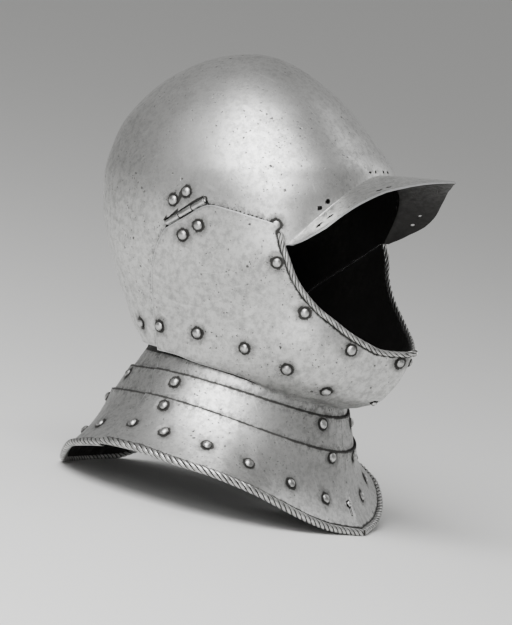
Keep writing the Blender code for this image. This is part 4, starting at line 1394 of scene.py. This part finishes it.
class BURGONET_OT_skull(bpy.types.Operator):
    """Skull and fixed peak in one plate, with its lining holes and hinge windows"""
    bl_idname = "burgonet.skull"
    bl_label = "Skull and Peak"

    def execute(self, context):
        steel = aged_steel("aged_skull", SKULL_TONE, ROPE_RADIUS)
        rivets, seams = [], []
        cutters = [drill("lining_drill", lining_holes())]
        for side in (1, -1):
            rivets += feet(head_rivets(False, side) + [corner_stud(side)])
            seams += cheek_outline(side)
            turn, centre, length = hinge_frame(side)
            middle = centre + turn.to_3x3() @ Vector((0, WINDOW_SHIFT, 0))
            cutters.append(block_cutter("hinge_window", middle,
                                        (length + 2 * MM, WINDOW_HEIGHT, 12 * MM), turn))
        skull = make_plate("skull_plate", skull_rows(*SKULL_GRID),
                           Vector((0.0, 0.0, level(0.42))), steel, rivets, seams=seams,
                           closed=True, cutters=cutters)
        keep_piece(skull, "skull", ["skull"])
        return {"FINISHED"}


def corner_stud(side):
    """Place and direction of the low stud that shows past a cheek-piece's front corner."""
    foot = cheek_place(STUD_PLACE, 0.0, side, 0.0)
    return foot, (cheek_place(STUD_PLACE, 0.0, side, PROBE) - foot).normalized()


def chin_catch():
    """Place and direction of the stud at the bottom of the chin, on the right half."""
    foot = head_point(*CHIN_CATCH, 1, CHEEK_OUT)
    return foot, (head_point(*CHIN_CATCH, 1, CHEEK_OUT + PROBE) - foot).normalized()


def gorget_catch():
    """Place and direction of the stud low on the gorget, on the right half."""
    foot = collar_point(*GORGET_CATCH, 1, 0.0)
    return foot, (collar_point(*GORGET_CATCH, 1, PROBE) - foot).normalized()


def keyhole(name, catch):
    """Cutter for the round hole that a stud comes through and the slot below it."""
    foot, along = catch
    cutter = drill(name, [(foot, along, KEYHOLE_RADIUS)])
    down = Vector((0.0, 0.0, -1.0))
    down = (down - along * down.dot(along)).normalized()
    turn = Matrix((along.cross(down), down, along)).transposed().to_4x4()
    middle = foot + down * (KEYHOLE_SLOT[1] / 2 + 0.4 * MM)
    return [cutter, block_cutter(name + "_slot", middle, KEYHOLE_SLOT, turn)]


class BURGONET_OT_cheeks(bpy.types.Operator):
    """Two cheek-pieces that meet at the chin, each with a rope along the face-opening"""
    bl_idname = "burgonet.cheeks"
    bl_label = "Cheek-pieces"

    def execute(self, context):
        sizes, _, _ = settings()
        steel = aged_steel("aged_cheek", CHEEK_TONE, FACE_ROPE_RADIUS)
        start = ROPE_START / ROPE_COLUMNS
        for side, label in ((1, "right"), (-1, "left")):
            body = label + "_cheek"
            line = [cheek_place(start + (1 - start) * i / LINE_PARTS, 0.0, side,
                                CHEEK_OUT + FACE_ROPE_STAND) for i in range(LINE_PARTS + 1)]
            line = [point for point in line if point.x * side < -GAP / 2]
            cutters = keyhole("chin_keyhole", chin_catch()) if side == 1 else []
            plate = make_plate("cheek_plate_" + label, cheek_rows(side, CHEEK_OUT, *CHEEK_GRID),
                               Vector((0.0, 0.0, level(0.7))), steel,
                               feet(head_rivets(True, side)), line, cutters=cutters,
                               middle_side=side)
            keep_piece(plate, body, ["cheek_" + label])
            rope = make_rope("face_rope_" + label, line, sizes.face_rope, rope_steel())
            keep_piece(rope, body)
        return {"FINISHED"}


def rim_line(front, side):
    """Centre line of the collar's rope under the rear gorget or under a front one."""
    if front:
        start, end = split_at(3.0) + 0.001, 1.0
        line = [collar_point(start + (end - start) * i / RIM_PARTS, 3.0, side, -PLATE / 2)
                for i in range(RIM_PARTS + 1)]
        return [point for point in line if point.x * side < -GAP / 2]
    end = split_at(3.0) - ROPE_BREAK / 2
    half = [collar_point(end * i / LINE_PARTS, 3.0, 1, -STEP - PLATE / 2)
            for i in range(LINE_PARTS + 1)]
    return mirror_rows([half])[0]


class BURGONET_OT_collar(bpy.types.Operator):
    """Two neck lames and the flared gorget, each in a rear piece and two front halves"""
    bl_idname = "burgonet.collar"
    bl_label = "Neck Lames and Gorget"

    def execute(self, context):
        lame_steel = aged_steel("aged_lame", LAME_TONE, ROPE_RADIUS)
        gorget_steel = aged_steel("aged_gorget", GORGET_TONE, ROPE_RADIUS)
        # Name, levels, plates over the rear piece, levels that its rivets lie between, steel.
        layers = (("neck_lame_1", finer(LAME_1_LEVELS, LAME_STEP), 3, 1.0, 2.0, lame_steel),
                  ("neck_lame_2", finer(LAME_2_LEVELS, LAME_STEP), 2, 1.0, 2.0, lame_steel),
                  ("gorget", finer(GORGET_LEVELS, GORGET_STEP), 1, 2.0, 3.0, gorget_steel))
        for name, levels, inner, top, bottom, steel in layers:
            rope = name == "gorget"
            inside = Vector((0.0, 0.0, collar_base(0.5, levels[0]).z + 0.03))
            rows = mirror_rows(rear_rows(levels, -inner * STEP, REAR_COLUMNS, rope))
            rivets = [] if name == "neck_lame_1" else feet(
                collar_rivets(False, 1, top, bottom) + collar_rivets(False, -1, top, bottom))
            seams = [point for side in (1, -1)
                     for point in collar_seams(name, False, side, -inner * STEP)]
            rear = make_plate(name + "_plate_rear", rows, inside, steel, rivets,
                              rim_line(False, 1) if rope else (), seams)
            keep_piece(rear, "skull", [name + "_rear"])
            for side, label in ((1, "right"), (-1, "left")):
                rows = front_rows(side, levels, -(inner - 1) * STEP, FRONT_COLUMNS, rope)
                rivets = [] if name == "neck_lame_1" else feet(
                    collar_rivets(True, side, top, bottom))
                cutters = keyhole("gorget_keyhole", gorget_catch()) if (
                    rope and side == 1) else []
                front = make_plate("%s_plate_%s" % (name, label), rows, inside, steel, rivets,
                                   rim_line(True, side) if rope else (),
                                   collar_seams(name, True, side, -(inner - 1) * STEP),
                                   cutters=cutters, middle_side=side)
                keep_piece(front, label + "_cheek", ["%s_%s" % (name, label)])
        return {"FINISHED"}


class BURGONET_OT_rim_rope(bpy.types.Operator):
    """Rope turned along the gorget's rim, in the same three pieces as the gorget"""
    bl_idname = "burgonet.rim_rope"
    bl_label = "Rim Rope"

    def execute(self, context):
        sizes, _, _ = settings()
        keep_piece(make_rope("rim_rope_rear", rim_line(False, 1), sizes.rope, rope_steel()),
                   "skull")
        for side, label in ((1, "right"), (-1, "left")):
            rope = make_rope("rim_rope_" + label, rim_line(True, side), sizes.rope, rope_steel())
            keep_piece(rope, label + "_cheek")
        return {"FINISHED"}


class BURGONET_OT_hinges(bpy.types.Operator):
    """The hinge over each ear: leaves inside the plates, three knuckles and a pin"""
    bl_idname = "burgonet.hinges"
    bl_label = "Hinges"

    def execute(self, context):
        steel = small_steel("worn_hinge", 0.98, "clean_and_lit", 0.15, 0.55, 0.33)
        for side, label in ((1, "right"), (-1, "left")):
            turn, centre, length = hinge_frame(side)
            spin = turn.to_3x3()
            along = spin @ Vector((1.0, 0.0, 0.0))
            knuckle = length / 3
            for leaf, slots, lean, body in (("skull", (1,), 1, "skull"),
                                            ("cheek", (0, 2), -1, label + "_cheek")):
                bm = bmesh.new()
                clean_and_lit = bm.verts.layers.float.new("clean_and_lit")
                depth_in = HINGE_STAND + (PLATE + 2.6 * MM if leaf == "skull" else 2.8 * MM)
                place = centre + spin @ Vector((0.0, lean * LEAF_MIDDLE, -depth_in))
                parts = [(place, (length - 2 * MM, LEAF_HEIGHT, LEAF_THICKNESS))]
                for slot in slots:
                    middle = (slot - 1) * knuckle
                    arm = centre + spin @ Vector((middle, lean * ARM_HEIGHT, -depth_in / 2))
                    parts.append((arm, (knuckle - 4 * GAP, ARM_HEIGHT, depth_in + 0.6 * MM)))
                    long = knuckle - 2 * GAP
                    lip, radius = KNUCKLE_LIP, HINGE_RADIUS + 0.25 * MM
                    profile = ((0, 0, 0), (radius - lip, 0, 0), (radius, lip, 0.5),
                               (radius, 2 * lip, 1), (radius, long - 2 * lip, 1),
                               (radius, long - lip, 0.5), (radius - lip, long, 0),
                               (0, long, 0))
                    foot = centre + spin @ Vector((middle - long / 2, 0, 0))
                    turned_bar(bm, clean_and_lit, profile, foot, along)
                for spot, size in parts:
                    for vert in add_block(bm, spot, size, turn):
                        vert[clean_and_lit] = 0.35
                if leaf == "cheek":
                    for end in (-1, 1):
                        foot = centre + along * end * (length / 2 + 0.5 * MM)
                        turned_bar(bm, clean_and_lit, PIN_HEAD, foot, along * -end)
                piece = masked_piece("hinge_%s_%s" % (leaf, label), bm, steel, 0.15 * MM)
                keep_piece(piece, body,
                           ["hinge_leaf_%s_%s" % (leaf, label)])
        return {"FINISHED"}


class BURGONET_OT_rivets(bpy.types.Operator):
    """Domed rivets, one mesh for each body, and the low studs at the cheek-pieces' corners"""
    bl_idname = "burgonet.rivets"
    bl_label = "Rivets"

    def execute(self, context):
        sizes, _, _ = settings()
        # Rivets and studs are painted in shade towards their domes' rims, by the dome mask.
        steel = small_steel("rubbed_rivet", 0.90, "dome", 0.16, 0.72, 0.33)
        groups = [("skull", head_rivets(False, 1) + head_rivets(False, -1)
                   + collar_rivets(False, 1, 1.0, 3.0) + collar_rivets(False, -1, 1.0, 3.0),
                   [("%s_%s" % (name, label)) for name, on, _, _ in RIVETS
                    for label in ("right", "left") if on == "skull"])]
        for side, label in ((1, "right"), (-1, "left")):
            groups.append((label + "_cheek",
                           head_rivets(True, side) + collar_rivets(True, side, 1.0, 3.0),
                           ["%s_%s" % (name, label) for name, on, _, _ in RIVETS
                            if on == "cheek"]))
        for body, rivets, replaced in groups:
            piece = make_rivets("rivets_" + body, rivets, sizes.rivet, sizes.rivet_height,
                                steel)
            keep_piece(piece, body, replaced)
        studs = make_rivets("corner_studs", [corner_stud(1), corner_stud(-1)], STUD_RADIUS,
                            STUD_HEIGHT, steel)
        keep_piece(studs, "skull")
        return {"FINISHED"}


def ridge_strip(side_point, left, right, columns):
    """Row of points from the left half's inside, over the ridge, to the right half's."""
    row = []
    for i in range(-columns, columns + 1):
        side = 1 if i > 0 else -1
        back = abs(i) / columns * (right if i > 0 else left)
        point = side_point(side, back)
        reach = max(abs(point.x), 0.15 * MM) if i else 0.0
        row.append(Vector((-side * reach, point.y, point.z)))
    return row


class BURGONET_OT_catches(bpy.types.Operator):
    """Tongues inside the left half whose studs come through keyholes in the right half"""
    bl_idname = "burgonet.catches"
    bl_label = "Chin and Gorget Catches"

    def execute(self, context):
        steel = aged_steel("aged_cheek", CHEEK_TONE, FACE_ROPE_RADIUS)
        stud_steel = small_steel("worn_stud", 1.0, "clean_and_lit", 0.15, 0.55, 0.33)
        rows = []
        for depth in CHIN_TONGUE_DEPTHS:
            ridge = min(ridge_ahead(depth) - OVER_MIDDLE - TONGUE_GAP, CHIN_TONGUE_REACH)
            rows.append(ridge_strip(
                lambda side, back, depth=depth, ridge=ridge: head_point(
                    ridge - back, depth, side, CHEEK_OUT - PLATE - TONGUE_GAP),
                13 * MM, 5.5 * MM, 10))
        chin = make_plate("chin_tongue", rows, Vector((0.0, 0.0, level(0.85))), steel)
        keep_piece(chin, "left_cheek")
        rows = [ridge_strip(lambda side, back, down=down: collar_point(
            1.0 - back, down, side, -PLATE - TONGUE_GAP), 0.05, 0.024, 10)
            for down in GORGET_TONGUE_LEVELS]
        low = make_plate("gorget_tongue", rows, Vector((0.0, 0.0, 0.1)), steel)
        keep_piece(low, "left_cheek")
        bm = bmesh.new()
        clean_and_lit = bm.verts.layers.float.new("clean_and_lit")
        for foot, along in (chin_catch(), gorget_catch()):
            turned_bar(bm, clean_and_lit, CATCH_STUD, foot - along * (PLATE + TONGUE_GAP), along)
        keep_piece(masked_piece("catch_studs", bm, stud_steel), "left_cheek")
        return {"FINISHED"}


def soft_light(name, place, target, power, size):
    light = bpy.data.lights.new(name, "AREA")
    light.shape = "RECTANGLE"
    light.size, light.size_y = size
    light.energy = power
    obj = bpy.data.objects.new(name, light)
    bpy.context.scene.collection.objects.link(obj)
    obj.location = place
    obj.rotation_euler = (target - place).to_track_quat("-Z", "Y").to_euler()


class BURGONET_OT_stage(bpy.types.Operator):
    """Pale floor, soft studio light and the camera at the photograph's angle"""
    bl_idname = "burgonet.stage"
    bl_label = "Floor, Light and Camera"

    def execute(self, context):
        _, _, stage = settings()
        turn = STAND.to_3x3()
        back = turn @ Vector((-math.cos(stage.turn) * math.cos(stage.height),
                              -math.sin(stage.turn) * math.cos(stage.height),
                              math.sin(stage.height)))
        upright = turn @ Vector((0.0, 0.0, 1.0))
        aim = STAND @ Vector(AIM)
        camera = bpy.data.cameras.new("camera")
        camera.sensor_fit = "VERTICAL"
        camera.sensor_height = SENSOR
        camera.lens = SENSOR * stage.distance / VIEW_SPAN
        camera.clip_end = 10 * stage.distance
        seen = bpy.data.objects.new("camera", camera)
        context.scene.collection.objects.link(seen)
        across = upright.cross(back).normalized()
        facing = Matrix((across, back.cross(across), back)).transposed().to_4x4()
        seen.matrix_world = Matrix.Translation(aim + back * stage.distance) @ facing
        context.scene.camera = seen

        bm = bmesh.new()
        bmesh.ops.create_grid(bm, x_segments=2, y_segments=2, size=FLOOR_REACH)
        mesh = bpy.data.meshes.new("floor")
        bm.to_mesh(mesh)
        bm.free()
        floor = bpy.data.objects.new("floor", mesh)
        context.scene.collection.objects.link(floor)
        material = bpy.data.materials.new("floor")
        material.use_nodes = True
        shader = material.node_tree.nodes["Principled BSDF"]
        shader.inputs["Base Color"].default_value = (*stage.floor, 1.0)
        shader.inputs["Roughness"].default_value = 0.8
        mesh.materials.append(material)

        world = bpy.data.worlds.new("studio")
        context.scene.world = world
        world.use_nodes = True
        surround = world.node_tree.nodes["Background"]
        surround.inputs["Color"].default_value = (1.0, 1.0, 0.99, 1.0)
        surround.inputs["Strength"].default_value = stage.surround
        side = Vector((across.x, across.y, 0.0)).normalized()
        near = Vector((back.x, back.y, 0.0)).normalized()
        up = Vector((0.0, 0.0, 1.0))
        middle = up * LIT_HEIGHT
        powers = {"key_light": stage.key_power, "fill_light": stage.fill_power,
                  "rim_light": stage.rim_power}
        for name, (ahead, right, above, size) in LIGHTS.items():
            place = middle + near * ahead + side * right + up * above
            soft_light(name, place, middle, powers[name], size)
        return {"FINISHED"}


STEPS = (BURGONET_OT_skull, BURGONET_OT_cheeks, BURGONET_OT_collar, BURGONET_OT_rim_rope,
         BURGONET_OT_hinges, BURGONET_OT_rivets, BURGONET_OT_catches, BURGONET_OT_stage)


class VIEW3D_PT_burgonet(bpy.types.Panel):
    """Values and building steps of the burgonet"""
    bl_idname = "VIEW3D_PT_burgonet"
    bl_label = "Close Burgonet"
    bl_space_type = "VIEW_3D"
    bl_region_type = "UI"
    bl_category = "Burgonet"

    def draw(self, context):
        for group in settings():
            box = self.layout.box()
            for name in group.__annotations__:
                box.prop(group, name)
        column = self.layout.column(align=True)
        for step in STEPS:
            column.operator(step.bl_idname)


GROUPS = (("burgonet_sizes", BurgonetSizes), ("burgonet_finish", BurgonetFinish),
          ("burgonet_stage", BurgonetStage))


def register():
    for name, group in GROUPS:
        bpy.utils.register_class(group)
        setattr(bpy.types.Scene, name, PointerProperty(type=group))
    for step in STEPS:
        bpy.utils.register_class(step)
    bpy.utils.register_class(VIEW3D_PT_burgonet)


def unregister():
    bpy.utils.unregister_class(VIEW3D_PT_burgonet)
    for step in reversed(STEPS):
        bpy.utils.unregister_class(step)
    for name, group in reversed(GROUPS):
        delattr(bpy.types.Scene, name)
        bpy.utils.unregister_class(group)


def main():
    register()
    bpy.ops.burgonet.skull()
    bpy.ops.burgonet.cheeks()
    bpy.ops.burgonet.collar()
    bpy.ops.burgonet.rim_rope()
    bpy.ops.burgonet.hinges()
    bpy.ops.burgonet.rivets()
    bpy.ops.burgonet.catches()
    bpy.ops.burgonet.stage()


if __name__ == "__main__":
    main()
